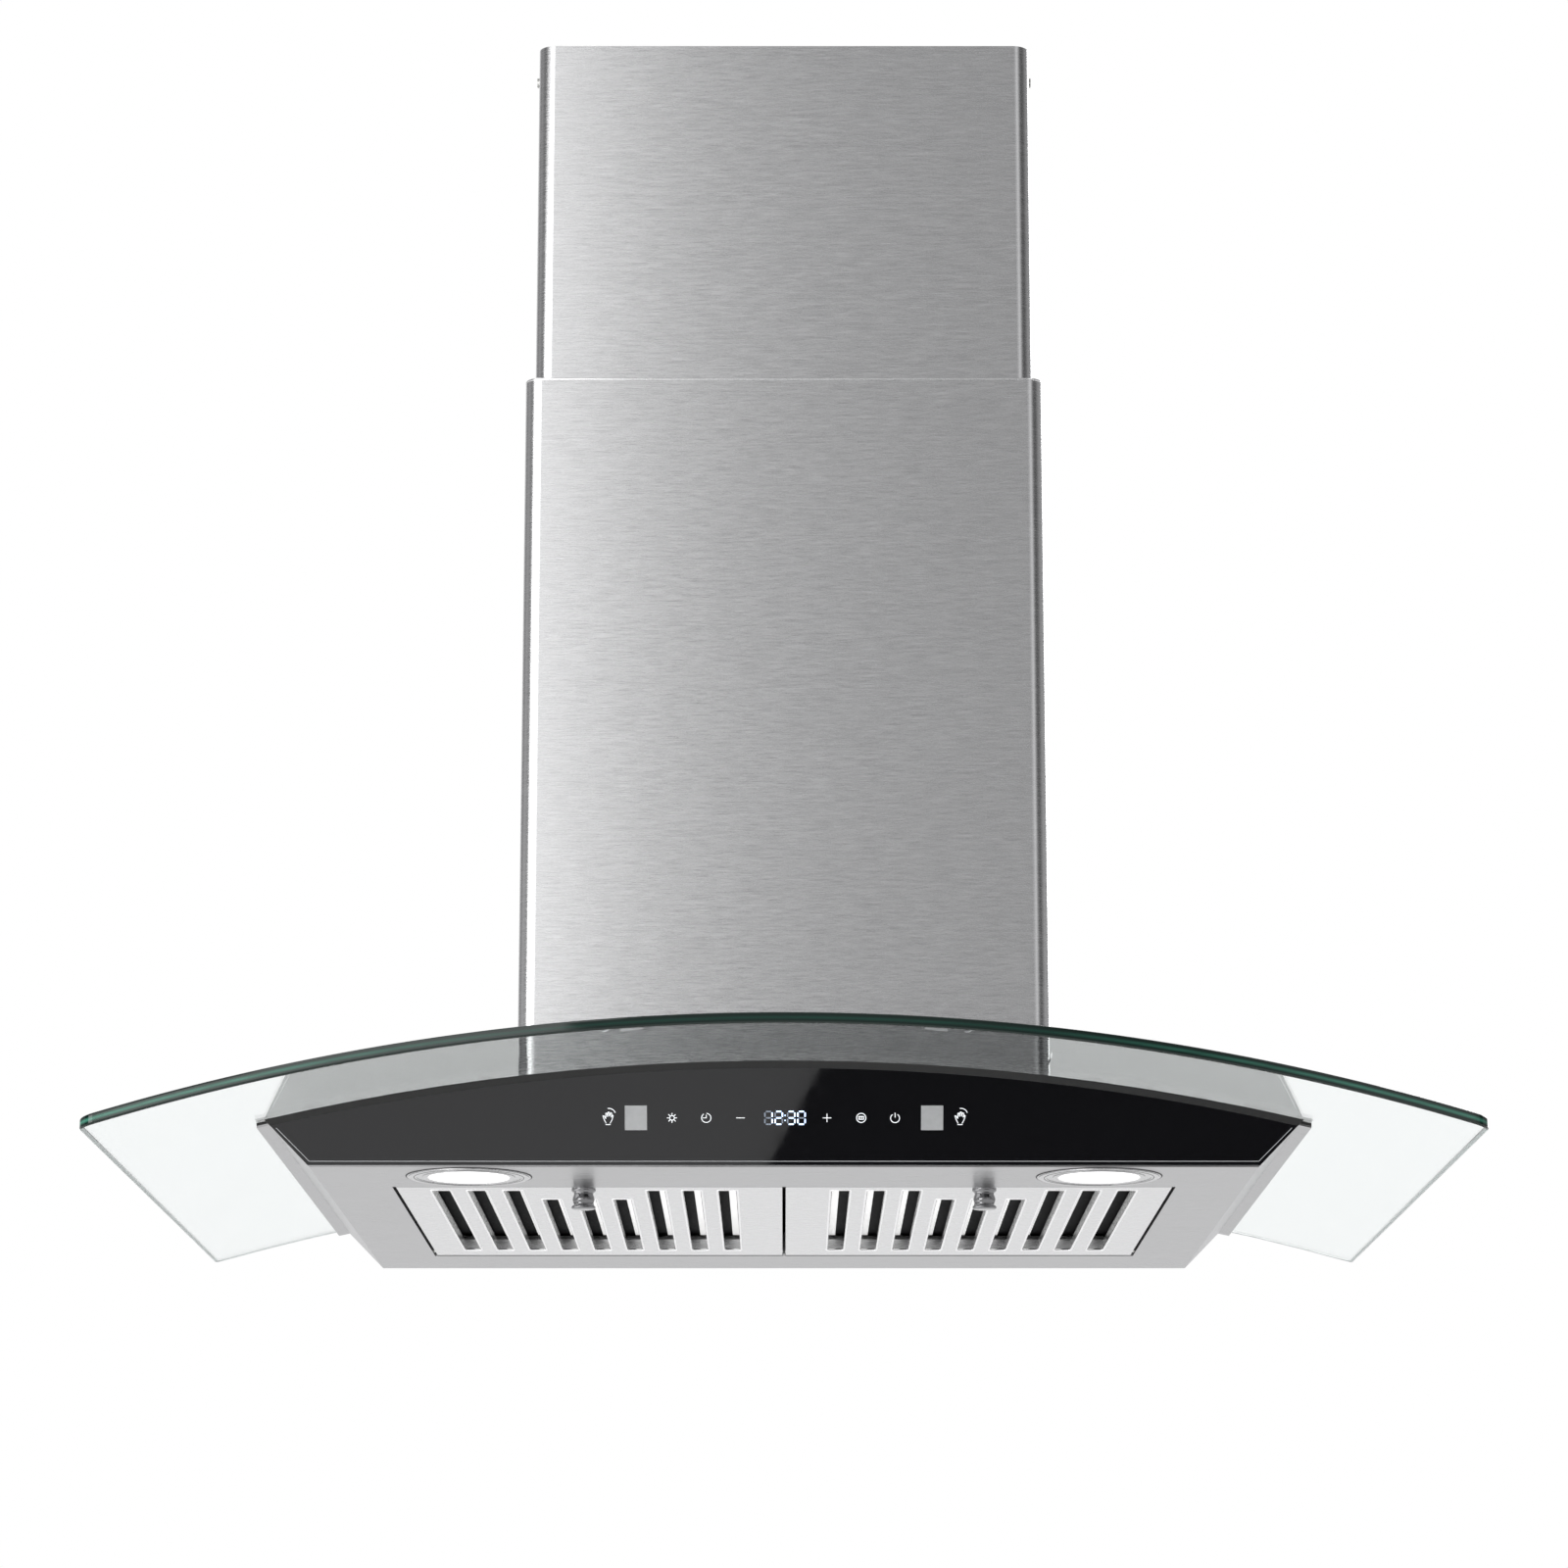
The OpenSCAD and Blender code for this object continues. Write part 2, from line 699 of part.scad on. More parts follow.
module lamp_ring() difference() {
    union() {
        translate([0, 0, -0.8]) cylinder(r = lamp_r - 1, h = 0.8);
        translate([0, 0, -0.4]) cylinder(r = lamp_r, h = 0.4);
        cylinder(r = lamp_body_r + 0.8, h = sheet + 2);
    }
    translate([0, 0, -2]) cylinder(r = lens_r, h = sheet + 6);
    translate([0, 0, -0.9]) difference() {
        cylinder(r = lens_r + 6.5, h = 0.4);
        cylinder(r = lens_r + 3, h = 0.4);
    }
}
module lamp_lens() translate([0, 0, -0.5]) cylinder(r = lens_r, h = 2.5);
module lamp_housing() translate([0, 0, sheet + 2]) {
    difference() {
        cylinder(r = lamp_body_r, h = lamp_h - sheet - 2);
        translate([0, 0, -1]) cylinder(r = lamp_body_r - 2, h = lamp_h - sheet - 6);
    }
    translate([0, 0, lamp_h - sheet - 3]) {
        cylinder(r = lamp_hub_r, h = lamp_fin_h + 1);
        for (a = [0 : 30 : 330]) rotate([0, 0, a]) translate([lamp_hub_r - 1, -0.6, 0])
            cube([lamp_body_r - lamp_hub_r - 0.5, 1.2, lamp_fin_h + 1]);
    }
}

module at_lamp(side) hood() translate([side * lamp_x, lamp_y - half_d, 0]) children();
module left_lamp_ring() color("#d5d6d8") at_lamp(-1) lamp_ring();
module left_lamp_lens() color("white") at_lamp(-1) lamp_lens();
module left_lamp_housing() color(zinc) at_lamp(-1) lamp_housing();
module right_lamp_ring() color("#d5d6d8") at_lamp(1) lamp_ring();
module right_lamp_lens() color("white") at_lamp(1) lamp_lens();
module right_lamp_housing() color(zinc) at_lamp(1) lamp_housing();

// ---- blower

module air_box() color(zinc) hood() difference() {
    translate([-box_x, -box_y, 0]) cube([2 * box_x, 2 * box_y, box_top]);
    translate([-box_x + box_t, -box_y + box_t, -1])
        cube([2 * (box_x - box_t), 2 * (box_y - box_t), box_top + 1 - box_t]);
    arch_bar(under_r - plate_low_gap);
    translate([0, 0, box_top - box_t - 1]) cylinder(r = collar_r - collar_t, h = box_t + 2);
    translate([gland_x, gland_y, box_top - box_t - 1]) cylinder(r = gland_r, h = box_t + 2);
}

// Side view of the spiral: across is Y, up is Z, with the wheel's axis at 0, 0
module scroll_outline(inset, extra) {
    neck_in = scroll_r(scroll_turn) * cos(scroll_turn);
    polygon(concat(
        [for (a = [0 : 6 : scroll_turn]) (scroll_r(a) - inset) * [cos(a), -sin(a)]],
        [[neck_in + inset, neck_top + extra], [scroll_max - inset, neck_top + extra]]));
}

module blower() hood() translate([0, blower_y, blower_z]) children();

module across(w) rotate([90, 0, 90]) linear_extrude(height = w, center = true) children();

module scroll_casing() color(zinc) blower() difference() {
    across(scroll_w) scroll_outline(0, 0);
    across(scroll_w - 2 * casing_t) scroll_outline(casing_t, 1);
    cyl_x(inlet_r, -scroll_w, scroll_w);
}

module outlet_duct() color("#3a3b3e") hood() {
    y0 = blower_y + scroll_r(scroll_turn) * cos(scroll_turn);
    y1 = blower_y + scroll_max;
    z0 = blower_z + neck_top;
    difference() {
        outlet_shape(scroll_w, y0, y1, z0, collar_r - collar_t, duct_h - box_t, 0);
        outlet_shape(scroll_w - 2 * casing_t, y0 + casing_t, y1 - casing_t, z0,
                     collar_r - 2 * collar_t, duct_h - box_t, 1);
    }
}

// From the square neck of the casing to the round collar
module outlet_shape(w, y0, y1, z, r, h, past) hull() {
    translate([-w / 2, y0, z - past]) cube([w, y1 - y0, 0.5]);
    translate([0, 0, z + h - 0.5]) cylinder(r = r, h = 0.5 + past, $fn = 48);
}

module duct_collar() color("#3a3b3e") hood() difference() {
    translate([0, 0, box_top]) {
        cylinder(r = collar_flange_r, h = collar_flange_t);
        cylinder(r = collar_r, h = collar_h);
    }
    translate([0, 0, box_top - 1]) cylinder(r = collar_r - collar_t, h = collar_h + 2);
    translate([0, 0, box_top - 1]) for (a = [45 : 90 : 315]) rotate([0, 0, a])
        translate([collar_screw_r, 0, 0]) cylinder(r = screw_r, h = collar_flange_t + 2);
    translate([0, 0, flap_z]) cyl_x(flap_rod_r, -collar_r - 2, collar_r + 2);
}

// Ring inside the collar that the closed flaps lie on
module flap_seat() color(black) hood() translate([0, 0, flap_z - flap_t / 2 - seat_drop - seat_t])
    difference() {
        cylinder(r = collar_r - collar_t, h = seat_t);
        translate([0, 0, -1]) cylinder(r = collar_r - collar_t - seat_w, h = seat_t + 2);
        translate([-collar_r, -flap_edge, -1]) cube([2 * collar_r, 2 * flap_edge, seat_t + 2]);
    }

module collar_screws() color(zinc) hood() for (a = [45 : 90 : 315]) rotate([0, 0, a])
    translate([collar_screw_r, 0, box_top]) {
        cylinder(r = screw_r, h = collar_flange_t);
        translate([0, 0, collar_flange_t]) cylinder(r = screw_head_r, h = screw_head_h);
    }

module damper_rod() color(zinc) hood() translate([0, 0, flap_z])
    cyl_x(flap_rod_r, -collar_r, collar_r);

// A half disc with two knuckles on the rod; side is -1 for the front flap
module flap(side) hood() translate([0, 0, flap_z]) {
    r = collar_r - collar_t - flap_gap;
    knuckle_x = [for (k = [-1.5, 0.5]) side * k * (knuckle_w + 1)];
    difference() {
        union() {
            intersection() {
                translate([0, 0, -flap_t / 2]) cylinder(r = r, h = flap_t);
                translate([-r, side > 0 ? flap_edge : -r - flap_edge, -flap_t])
                    cube([2 * r, r, 2 * flap_t]);
            }
            for (x = knuckle_x) {
                cyl_x(knuckle_r, x - knuckle_w / 2, x + knuckle_w / 2);
                translate([x - knuckle_w / 2, side > 0 ? 0 : -flap_edge - 1, -flap_t / 2])
                    cube([knuckle_w, flap_edge + 1, flap_t]);
            }
        }
        cyl_x(flap_rod_r + run_gap, -r - 1, r + 1);
    }
}
module front_flap() color("#55585c") flap(-1);
module rear_flap() color("#55585c") flap(1);

module motor() color("#9a9da1") blower() difference() {
    union() {
        cyl_x(motor_r, -motor_back + 3, motor_front - 3);
        cyl_x(motor_r - 4, -motor_back, motor_front);
        cyl_x(hub_r, motor_front, motor_front + 1.5);
    }
    cyl_x(shaft_r + shaft_gap, -shaft_back - 2, motor_front + 3);
    for (a = [0 : 30 : 330]) rotate([a, 0, 0]) translate([-motor_back - 1, motor_r * 0.55, -1.5])
        cube([4, motor_r * 0.3, 3]);
}

module bracket_arms() for (a = [90, 210, 330]) rotate([a, 0, 0]) children();

module motor_bracket() color(zinc) blower() {
    x = -scroll_w / 2 - bush_l - bracket_t;
    difference() {
        union() {
            cyl_x(motor_r + 3, x, x + bracket_t);
            bracket_arms() {
                translate([x, -7, 0]) cube([bracket_t, 14, bush_at]);
                translate([0, 0, bush_at]) cyl_x(7, x, x + bracket_t);
            }
        }
        cyl_x(motor_r, x - 1, x + bracket_t + 1);
        bracket_arms() translate([0, 0, bush_at]) cyl_x(screw_r, x - 1, x + bracket_t + 1);
    }
}

module motor_bushes() color(black) blower() bracket_arms() translate([0, 0, bush_at])
    difference() {
        cyl_x(bush_r, -scroll_w / 2 - bush_l, -scroll_w / 2);
        cyl_x(screw_r, -scroll_w / 2 - bush_l - 1, -scroll_w / 2 + 1);
    }

capacitor_r = 15;
module run_capacitor() color("#dcdcd6") hood()
    translate([box_x - box_t - capacitor_r, blower_y - 30, blower_z - 25]) {
        cylinder(r = capacitor_r, h = 50);
        cylinder(r = capacitor_r - 3, h = 54);
        translate([0, -5, 20]) cube([capacitor_r, 10, 10]);
    }

gland_r = 8;
gland_x = -box_x + 22;
gland_y = -box_y + 22;
cable_hole_r = 6;
gland_bore = 3.6;
module cable_gland() color(black) hood() translate([gland_x, gland_y, box_top]) difference() {
    union() {
        translate([0, 0, -6]) cylinder(r = gland_r, h = 6);
        translate([0, 0, -5]) cylinder(r = gland_r + 3, h = 5 - box_t, $fn = 6);
        cylinder(r = gland_r + 3, h = 5, $fn = 6);
        translate([0, 0, 5]) cylinder(r = gland_r + 1, h = 9);
    }
    translate([0, 0, -7]) cylinder(r = gland_bore, h = 25);
}

module motor_shaft() color(dark_steel) blower() cyl_x(shaft_r, -shaft_back, hub_front);

module impeller_wheel() color("#4a4d52") blower() difference() {
    union() {
        cyl_x(wheel_r, 12, 14);
        cyl_x(hub_r, motor_front + 3, hub_front);
        for (i = [-1, 1]) difference() {
            cyl_x(wheel_r, i > 0 ? wheel_half - 2 : -wheel_half, i > 0 ? wheel_half : 2 - wheel_half);
            cyl_x(wheel_r - ring_w, -scroll_w, scroll_w);
        }
        across(2 * wheel_half) for (k = [0 : blades - 1]) rotate([0, 0, k * 360 / blades])
            translate([wheel_r - ring_w / 2, 0]) rotate([0, 0, blade_angle])
                square([blade_chord, blade_t], center = true);
    }
    cyl_x(shaft_r, 0, scroll_w);
}

// ---- filters

module filter_rod() color(zinc) hood() translate([0, rod_y, rod_z])
    cyl_x(rod_r, -opening_w / 2 - fold_t, opening_w / 2 + fold_t);

// Plate between the two filters that holds up the rod and hooks over the fold
rod_plate_t = 1.2;
rod_hook_t = 2;
rod_hook_w = 12;
rod_plate_front = 4;
rod_hook_over = 3;
module rod_bracket() color(zinc) hood() difference() {
    union() {
        translate([-rod_plate_t / 2, rod_y - rod_plate_front, 0])
            cube([rod_plate_t, opening_back - rod_y + rod_plate_front, fold_h + rod_hook_t]);
        translate([-rod_hook_w / 2, opening_back - rod_hook_t, fold_h])
            cube([rod_hook_w, rod_hook_t + fold_t + rod_hook_over, rod_hook_t]);
    }
    translate([0, rod_y, rod_z]) cyl_x(rod_r, -rod_plate_t, rod_plate_t);
}

// Slots of one filter; short ones leave room for the latch
module slot_places() for (k = [0 : slots - 1]) {
    offset_x = (k - (slots - 1) / 2) * slot_pitch;
    front = abs(offset_x) < 1.5 * slot_pitch ? short_slot_front : slot_front;
    translate([filter_x + offset_x, filter_front + front, 0]) {
        $slot_l = filter_back - slot_back - filter_front - front;
        children();
    }
}

// The right filter is drawn; side -1 mirrors it to the left
module filter_side(side) hood() scale([side, 1, 1]) children();

module filter_frame() difference() {
    union() {
        difference() {
            translate([filter_in, filter_front, 0])
                cube([filter_out - filter_in, filter_back - filter_front, filter_h]);
            translate([filter_in + filter_t, filter_front + filter_t, filter_t])
                cube([filter_out - filter_in - 2 * filter_t,
                      filter_back - filter_front - 2 * filter_t, filter_h]);
            // the back wall stands in front of the rod
            translate([0, rod_y - hook_r - 3, filter_t]) cube([opening_w, 20, filter_h]);
        }
        translate([filter_in, rod_y - hook_r - 3, filter_t])
            cube([filter_out - filter_in, filter_t, filter_h - filter_t]);
        slot_places() translate([-slot_w / 2 - lip_t, -lip_t, filter_t])
            cube([slot_w + 2 * lip_t, $slot_l + 2 * lip_t, lip_h]);
        for (x = [filter_in + hook_in, filter_out - hook_in - hook_w]) {
            translate([0, rod_y, rod_z]) cyl_x(hook_r, x, x + hook_w);
            translate([x, rod_y - hook_r - 3, filter_t]) cube([hook_w, hook_r + 3, rod_z - filter_t]);
        }
        latch_guides();
    }
    slot_places() translate([-slot_w / 2, 0, -1]) cube([slot_w, $slot_l, filter_h]);
    translate([0, rod_y, rod_z]) cyl_x(rod_r + run_gap, 0, opening_w / 2);
    // slot for the knob's stem and the latch tongue
    translate([filter_x - stem_r - stem_gap, knob_y - stem_r - stem_gap, -1])
        cube([2 * (stem_r + stem_gap), latch_travel + 2 * (stem_r + stem_gap), filter_t + 2]);
    translate([filter_x - tongue_w / 2 - guide_gap, filter_front - 1, plate_z - guide_gap])
        cube([tongue_w + 2 * guide_gap, filter_t + 2, latch_t + 2 * guide_gap]);
}

// Cheeks and a strap that hold the latch plate down, and the post behind its spring
module latch_guides() translate([filter_x, 0, filter_t]) {
    h = plate_z - filter_t + latch_t + guide_gap;
    w = latch_w / 2 + guide_gap;
    for (i = [-1, 1]) translate([i > 0 ? w : -w - guide_t, latch_front + 2, 0])
        cube([guide_t, latch_l - 4, h + guide_t]);
    translate([-w, latch_front + 4, h]) cube([2 * w, 4, guide_t]);
    translate([-4, latch_back + spring_l, 0]) cube([8, 2, 6]);
}

module filter_baffles() translate([0, 0, hood_z]) slot_places() difference() {
    w = slot_w + 2 * (lip_t + hood_over);
    back = filter_back - filter_front;
    translate([-w / 2, -3, -hood_drop]) cube([w, $slot_l + 3 + 12, hood_drop + lip_t]);
    translate([-w / 2 + lip_t, -4, -hood_drop - 1]) cube([w - 2 * lip_t, $slot_l + 17, hood_drop + 1]);
}

// Bars that carry the row of upper baffles between the side walls
module baffle_bars() for (y = [filter_front + short_slot_front + 4, filter_back - slot_back - 10])
    translate([filter_in + filter_t, y, hood_z + lip_t])
        cube([filter_out - filter_in - 2 * filter_t, 8, lip_t]);

module knob() translate([filter_x, knob_y, 0]) {
    rotate_extrude() polygon([[0, -knob_h], [knob_r - 1, -knob_h], [knob_r, -knob_h + 0.8],
        [knob_r, -knob_h + 2], [knob_r - 1.2, -knob_h + 2.6], [knob_r - 1, -2.2],
        [knob_r, -1.6], [knob_r, -0.6], [knob_r - 0.4, -0.4], [0, -0.4]]);
    translate([0, 0, -0.4]) cylinder(r = stem_r, h = plate_z + 0.4);
}

module latch() {
    translate([filter_x - latch_w / 2, latch_front, plate_z]) cube([latch_w, latch_l, latch_t]);
    translate([filter_x - tongue_w / 2, filter_front - tongue_out, plate_z])
        cube([tongue_w, latch_front - filter_front + tongue_out, latch_t]);
    translate([filter_x - 4, latch_back - 2, plate_z]) cube([8, 2, 6]);
}

// Closed coils side by side along Y
module latch_spring() translate([filter_x, latch_back, spring_z]) rotate([-90, 0, 0])
    for (k = [0 : coils - 1])
        translate([0, 0, coil_h / 2 + k * (spring_l - coil_h) / (coils - 1)]) rotate_extrude()
            translate([spring_r - spring_wire, 0]) square([2 * spring_wire, coil_h], center = true);

module left_filter_frame() color(steel) filter_side(-1) filter_frame();
module left_filter_baffles() color(dark_steel) filter_side(-1) upper_baffles();
module left_knob() color("#e4e5e7") filter_side(-1) knob();
module left_latch() color(zinc) filter_side(-1) latch();
module left_latch_spring() color(dark_steel) filter_side(-1) latch_spring();
module right_filter_frame() color(steel) filter_side(1) filter_frame();
module right_filter_baffles() color(dark_steel) filter_side(1) upper_baffles();
module right_knob() color("#e4e5e7") filter_side(1) knob();
module right_latch() color(zinc) filter_side(1) latch();
module right_latch_spring() color(dark_steel) filter_side(1) latch_spring();
module upper_baffles() {
    filter_baffles();
    baffle_bars();
}

ceiling_plate();
upper_frame();
upper_chimney();
chimney_screws();
lower_frame();
frame_bolts();
lower_chimney();
foot_pads();
glass_canopy();
glass_seal();
glass_bolts();
glass_nuts();
body_tray();
top_plate();
control_panel();
display_window();
sensor_windows();
touch_board();
touch_housing();
power_module();
lamp_driver();
left_lamp_ring();
left_lamp_lens();
left_lamp_housing();
right_lamp_ring();
right_lamp_lens();
right_lamp_housing();
air_box();
scroll_casing();
outlet_duct();
duct_collar();
flap_seat();
collar_screws();
damper_rod();
front_flap();
rear_flap();
motor();
motor_bracket();
motor_bushes();
run_capacitor();
cable_gland();
motor_shaft();
impeller_wheel();
filter_rod();
rod_bracket();
left_filter_frame();
left_filter_baffles();
left_knob();
left_latch();
left_latch_spring();
right_filter_frame();
right_filter_baffles();
right_knob();
right_latch();
right_latch_spring();
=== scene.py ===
# %% [markdown]
# # An island range hood
# The metal frame, the moving parts and all the sizes come from a CAD model. This lesson dresses it:
# brushed steel, clear glass with green edges, a black touch panel, lamps and slotted filters.
# Everything is in metres, with the ceiling at z = 0 and the controls towards -Y.

# %% Load the frame
import bpy
import math
from mathutils import Matrix, Vector


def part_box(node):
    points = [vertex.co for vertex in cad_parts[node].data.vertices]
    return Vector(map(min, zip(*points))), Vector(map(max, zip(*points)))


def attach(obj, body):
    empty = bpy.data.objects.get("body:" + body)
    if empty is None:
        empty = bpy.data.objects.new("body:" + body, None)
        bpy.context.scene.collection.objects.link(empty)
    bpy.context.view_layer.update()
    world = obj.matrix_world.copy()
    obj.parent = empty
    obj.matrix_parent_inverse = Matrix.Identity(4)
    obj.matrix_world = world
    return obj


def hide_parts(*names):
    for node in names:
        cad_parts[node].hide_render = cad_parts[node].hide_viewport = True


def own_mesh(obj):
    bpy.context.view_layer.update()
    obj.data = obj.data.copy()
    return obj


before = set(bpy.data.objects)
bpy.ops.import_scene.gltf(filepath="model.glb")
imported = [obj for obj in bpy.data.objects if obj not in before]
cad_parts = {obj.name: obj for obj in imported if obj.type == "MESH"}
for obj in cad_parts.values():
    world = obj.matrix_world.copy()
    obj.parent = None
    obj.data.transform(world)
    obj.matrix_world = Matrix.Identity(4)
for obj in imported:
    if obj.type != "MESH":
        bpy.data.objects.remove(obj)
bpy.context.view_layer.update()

# %% [markdown]
# ## Measures
# A maker reads sizes off the parts that are already there, so nothing here is typed twice. The
# underside of the body is the level that the lamps, filters and panel are set out from.

# %% Read the main measures from the frame
MM = 0.001
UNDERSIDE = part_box("body_tray")[0].z
print("underside at", round(UNDERSIDE, 4))

# %% [markdown]
# ## Camera
# The hood is seen from below its canopy, a little over two and a half metres away, with a long lens.
# A camera tilted up from that point shows the underside as a cook would see it. A small upward shift
# of the lens takes some of the tilt away, so that the sides of the chimney stay nearly upright.

# %% Camera
EYE_BACK = 2.648
EYE_DROP = 0.3541
TILT_UP = 11.9
LENS_PER_FRAME = 2.794
LENS_SHIFT = 0.07
bpy.ops.object.camera_add(location=(0, -EYE_BACK, UNDERSIDE - EYE_DROP),
                          rotation=(math.radians(90 + TILT_UP), 0, 0))
camera = bpy.context.object
camera.name = "studio_camera"
camera.data.lens = LENS_PER_FRAME * camera.data.sensor_width
camera.data.shift_y = LENS_SHIFT
bpy.context.scene.camera = camera
print("lens", round(camera.data.lens, 1), "mm")


# %% [markdown]
# ## Finishes
# Brushed steel is a metal whose scratches all run one way. Stretching a noise texture along one axis
# of the object makes such scratches; the same noise drives the colour, the roughness and a faint
# bump, so all three agree, as they do on a real sheet.

# %% A material and a short way to add nodes to it
def new_material(name, color, metallic, roughness):
    material = bpy.data.materials.new(name)
    material.use_nodes = True
    tree = material.node_tree
    shader = tree.nodes["Principled BSDF"]
    shader.inputs["Base Color"].default_value = (*color, 1)
    shader.inputs["Metallic"].default_value = metallic
    shader.inputs["Roughness"].default_value = roughness

    def add(kind, *settings, **inputs):
        """A new node; an input is a value or another node's output, _ stands for a space."""
        node = tree.nodes.new("ShaderNode" + kind)
        for key, value in settings:
            setattr(node, key, value)
        for key, value in inputs.items():
            socket = node.inputs[key.replace("_", " ")]
            if isinstance(value, bpy.types.NodeSocket):
                tree.links.new(value, socket)
            else:
                socket.default_value = value
        return node

    return material, shader, add, tree.links.new


def reckon(add, link, operation, *values):
    """A sum done on a pattern; each value is a number or another node's output."""
    node = add("Math", ("operation", operation))
    for socket, value in zip(node.inputs, values):
        if isinstance(value, bpy.types.NodeSocket):
            link(value, socket)
        else:
            socket.default_value = value
    return node.outputs[0]


def mixed(add, link, level, first, second):
    """The first colour where the pattern is 0, the second where it is 1."""
    node = add("Mix", ("data_type", "RGBA"))
    link(level, node.inputs[0])
    for socket, color in zip(node.inputs[6:8], (first, second)):
        if isinstance(color, bpy.types.NodeSocket):
            link(color, socket)
        else:
            socket.default_value = (*color, 1)
    return node.outputs[2]


def spread(add, level, low, high):
    """Turns a pattern's middle range into values from low to high."""
    return add("MapRange", Value=level, From_Min=0.3, From_Max=0.7, To_Min=low, To_Max=high).outputs[0]


def tinted(add, color, level, depth):
    """The colour, made lighter and darker by a pattern."""
    shade = add("VectorMath", ("operation", "SCALE"), Scale=spread(add, level, 1 - depth, 1 + depth))
    shade.inputs[0].default_value = color
    return shade.outputs[0]


# %% Brushed steel
# The share of fine scratches in the pattern; the rest is broader streaks
FINE_SHARE = 0.88


def brushed_steel(name, color, roughness, grain, depth, bump):
    """grain is how fast the scratches change along X, Y and Z, per metre."""
    material, shader, add, link = new_material(name, color, 1.0, roughness)
    place = add("TexCoord").outputs["Object"]
    fine_place = add("Mapping", Vector=place, Scale=grain).outputs[0]
    fine = add("TexNoise", Vector=fine_place, Scale=1.0, Detail=4.0, Roughness=0.65).outputs[0]
    broad_place = add("Mapping", Vector=place, Scale=[g * 0.2 for g in grain]).outputs[0]
    broad = add("TexNoise", Vector=broad_place, Scale=1.0, Detail=2.0).outputs[0]
    faint = reckon(add, link, "MULTIPLY", broad, 1 - FINE_SHARE)
    scratches = reckon(add, link, "MULTIPLY_ADD", fine, FINE_SHARE, faint)
    link(tinted(add, color, scratches, depth), shader.inputs["Base Color"])
    link(spread(add, scratches, roughness * 0.85, roughness * 1.15), shader.inputs["Roughness"])
    relief = add("Bump", Height=scratches, Strength=bump, Distance=0.0002)
    link(relief.outputs[0], shader.inputs["Normal"])
    return material


cover_steel = brushed_steel("cover_steel", (0.60, 0.60, 0.605), 0.27, (70, 70, 2200), 0.12, 0.10)
body_steel = brushed_steel("body_steel", (0.38, 0.38, 0.385), 0.30, (22, 620, 620), 0.17, 0.12)
filter_steel = brushed_steel("filter_steel", (0.66, 0.66, 0.665), 0.27, (26, 420, 420), 0.05, 0.03)
# Rolled edges and hem: lighter and smoother than the sheet, partly their polish and partly a painted
# highlight
rim_steel = brushed_steel("rim_steel", (0.90, 0.90, 0.905), 0.16, (400, 50, 400), 0.03, 0.02)


# %% [markdown]
# The other finishes share one recipe: a fine pattern over the part changes its colour, its roughness
# and its surface a little. Zinc coated sheet has visible crystals, so its pattern is made of cells.

# %% Coated sheet, plastics, rubber and other plain finishes with their grain
def grained(name, color, metallic, roughness, scale, bump, depth=0.08, cells=False):
    material, shader, add, link = new_material(name, color, metallic, roughness)
    place = add("TexCoord").outputs["Object"]
    pattern = add("TexVoronoi" if cells else "TexNoise", Vector=place, Scale=scale)
    level = pattern.outputs["Distance" if cells else 0]
    link(tinted(add, color, level, depth), shader.inputs["Base Color"])
    link(spread(add, level, roughness * 0.85, min(1, roughness * 1.2)), shader.inputs["Roughness"])
    relief = add("Bump", Height=level, Strength=bump, Distance=0.0003)
    link(relief.outputs[0], shader.inputs["Normal"])
    return material


zinc = grained("zinc_sheet", (0.30, 0.305, 0.31), 1.0, 0.45, 90, 0.05, 0.16, cells=True)
bright_zinc = grained("bright_zinc", (0.62, 0.62, 0.60), 1.0, 0.30, 900, 0.05)
# Parts deep inside, seen through the filter slots, are near black with little shine: painted shade, so
# that the gaps read dark
inner_black = grained("inner_black", (0.008, 0.008, 0.009), 0.0, 0.8, 600, 0.05)
inner_black.node_tree.nodes["Principled BSDF"].inputs["Specular IOR Level"].default_value = 0.12
rubber = grained("black_rubber", (0.012, 0.012, 0.012), 0.0, 0.62, 2500, 0.2)
black_plastic = grained("black_plastic", (0.022, 0.022, 0.024), 0.0, 0.45, 1800, 0.12)
white_plastic = grained("white_plastic", (0.72, 0.72, 0.70), 0.0, 0.4, 1800, 0.08, 0.03)
board_green = grained("circuit_board", (0.015, 0.12, 0.05), 0.0, 0.3, 400, 0.1, 0.3)
turned = grained("turned_aluminium", (0.52, 0.52, 0.525), 1.0, 0.25, 1200, 0.03, 0.03)
cast = grained("cast_aluminium", (0.55, 0.55, 0.56), 1.0, 0.5, 700, 0.2)
mill = grained("mill_aluminium", (0.62, 0.63, 0.64), 1.0, 0.35, 300, 0.04)
enamel = grained("motor_enamel", (0.16, 0.165, 0.175), 0.3, 0.42, 800, 0.06)
chrome = grained("chrome", (0.21, 0.21, 0.215), 1.0, 0.08, 500, 0.01, 0.02)
sensor_glass = grained("sensor_glass", (0.42, 0.425, 0.43), 0.0, 0.12, 300, 0.01, 0.04)
# Light grey for the line along the panel's edge: a painted highlight
faint_ink = grained("faint_ink", (0.48, 0.49, 0.50), 0.0, 0.5, 2000, 0.02, 0.03)
ground_edge = grained("ground_edge", (0.50, 0.57, 0.55), 0.0, 0.3, 900, 0.05, 0.06)
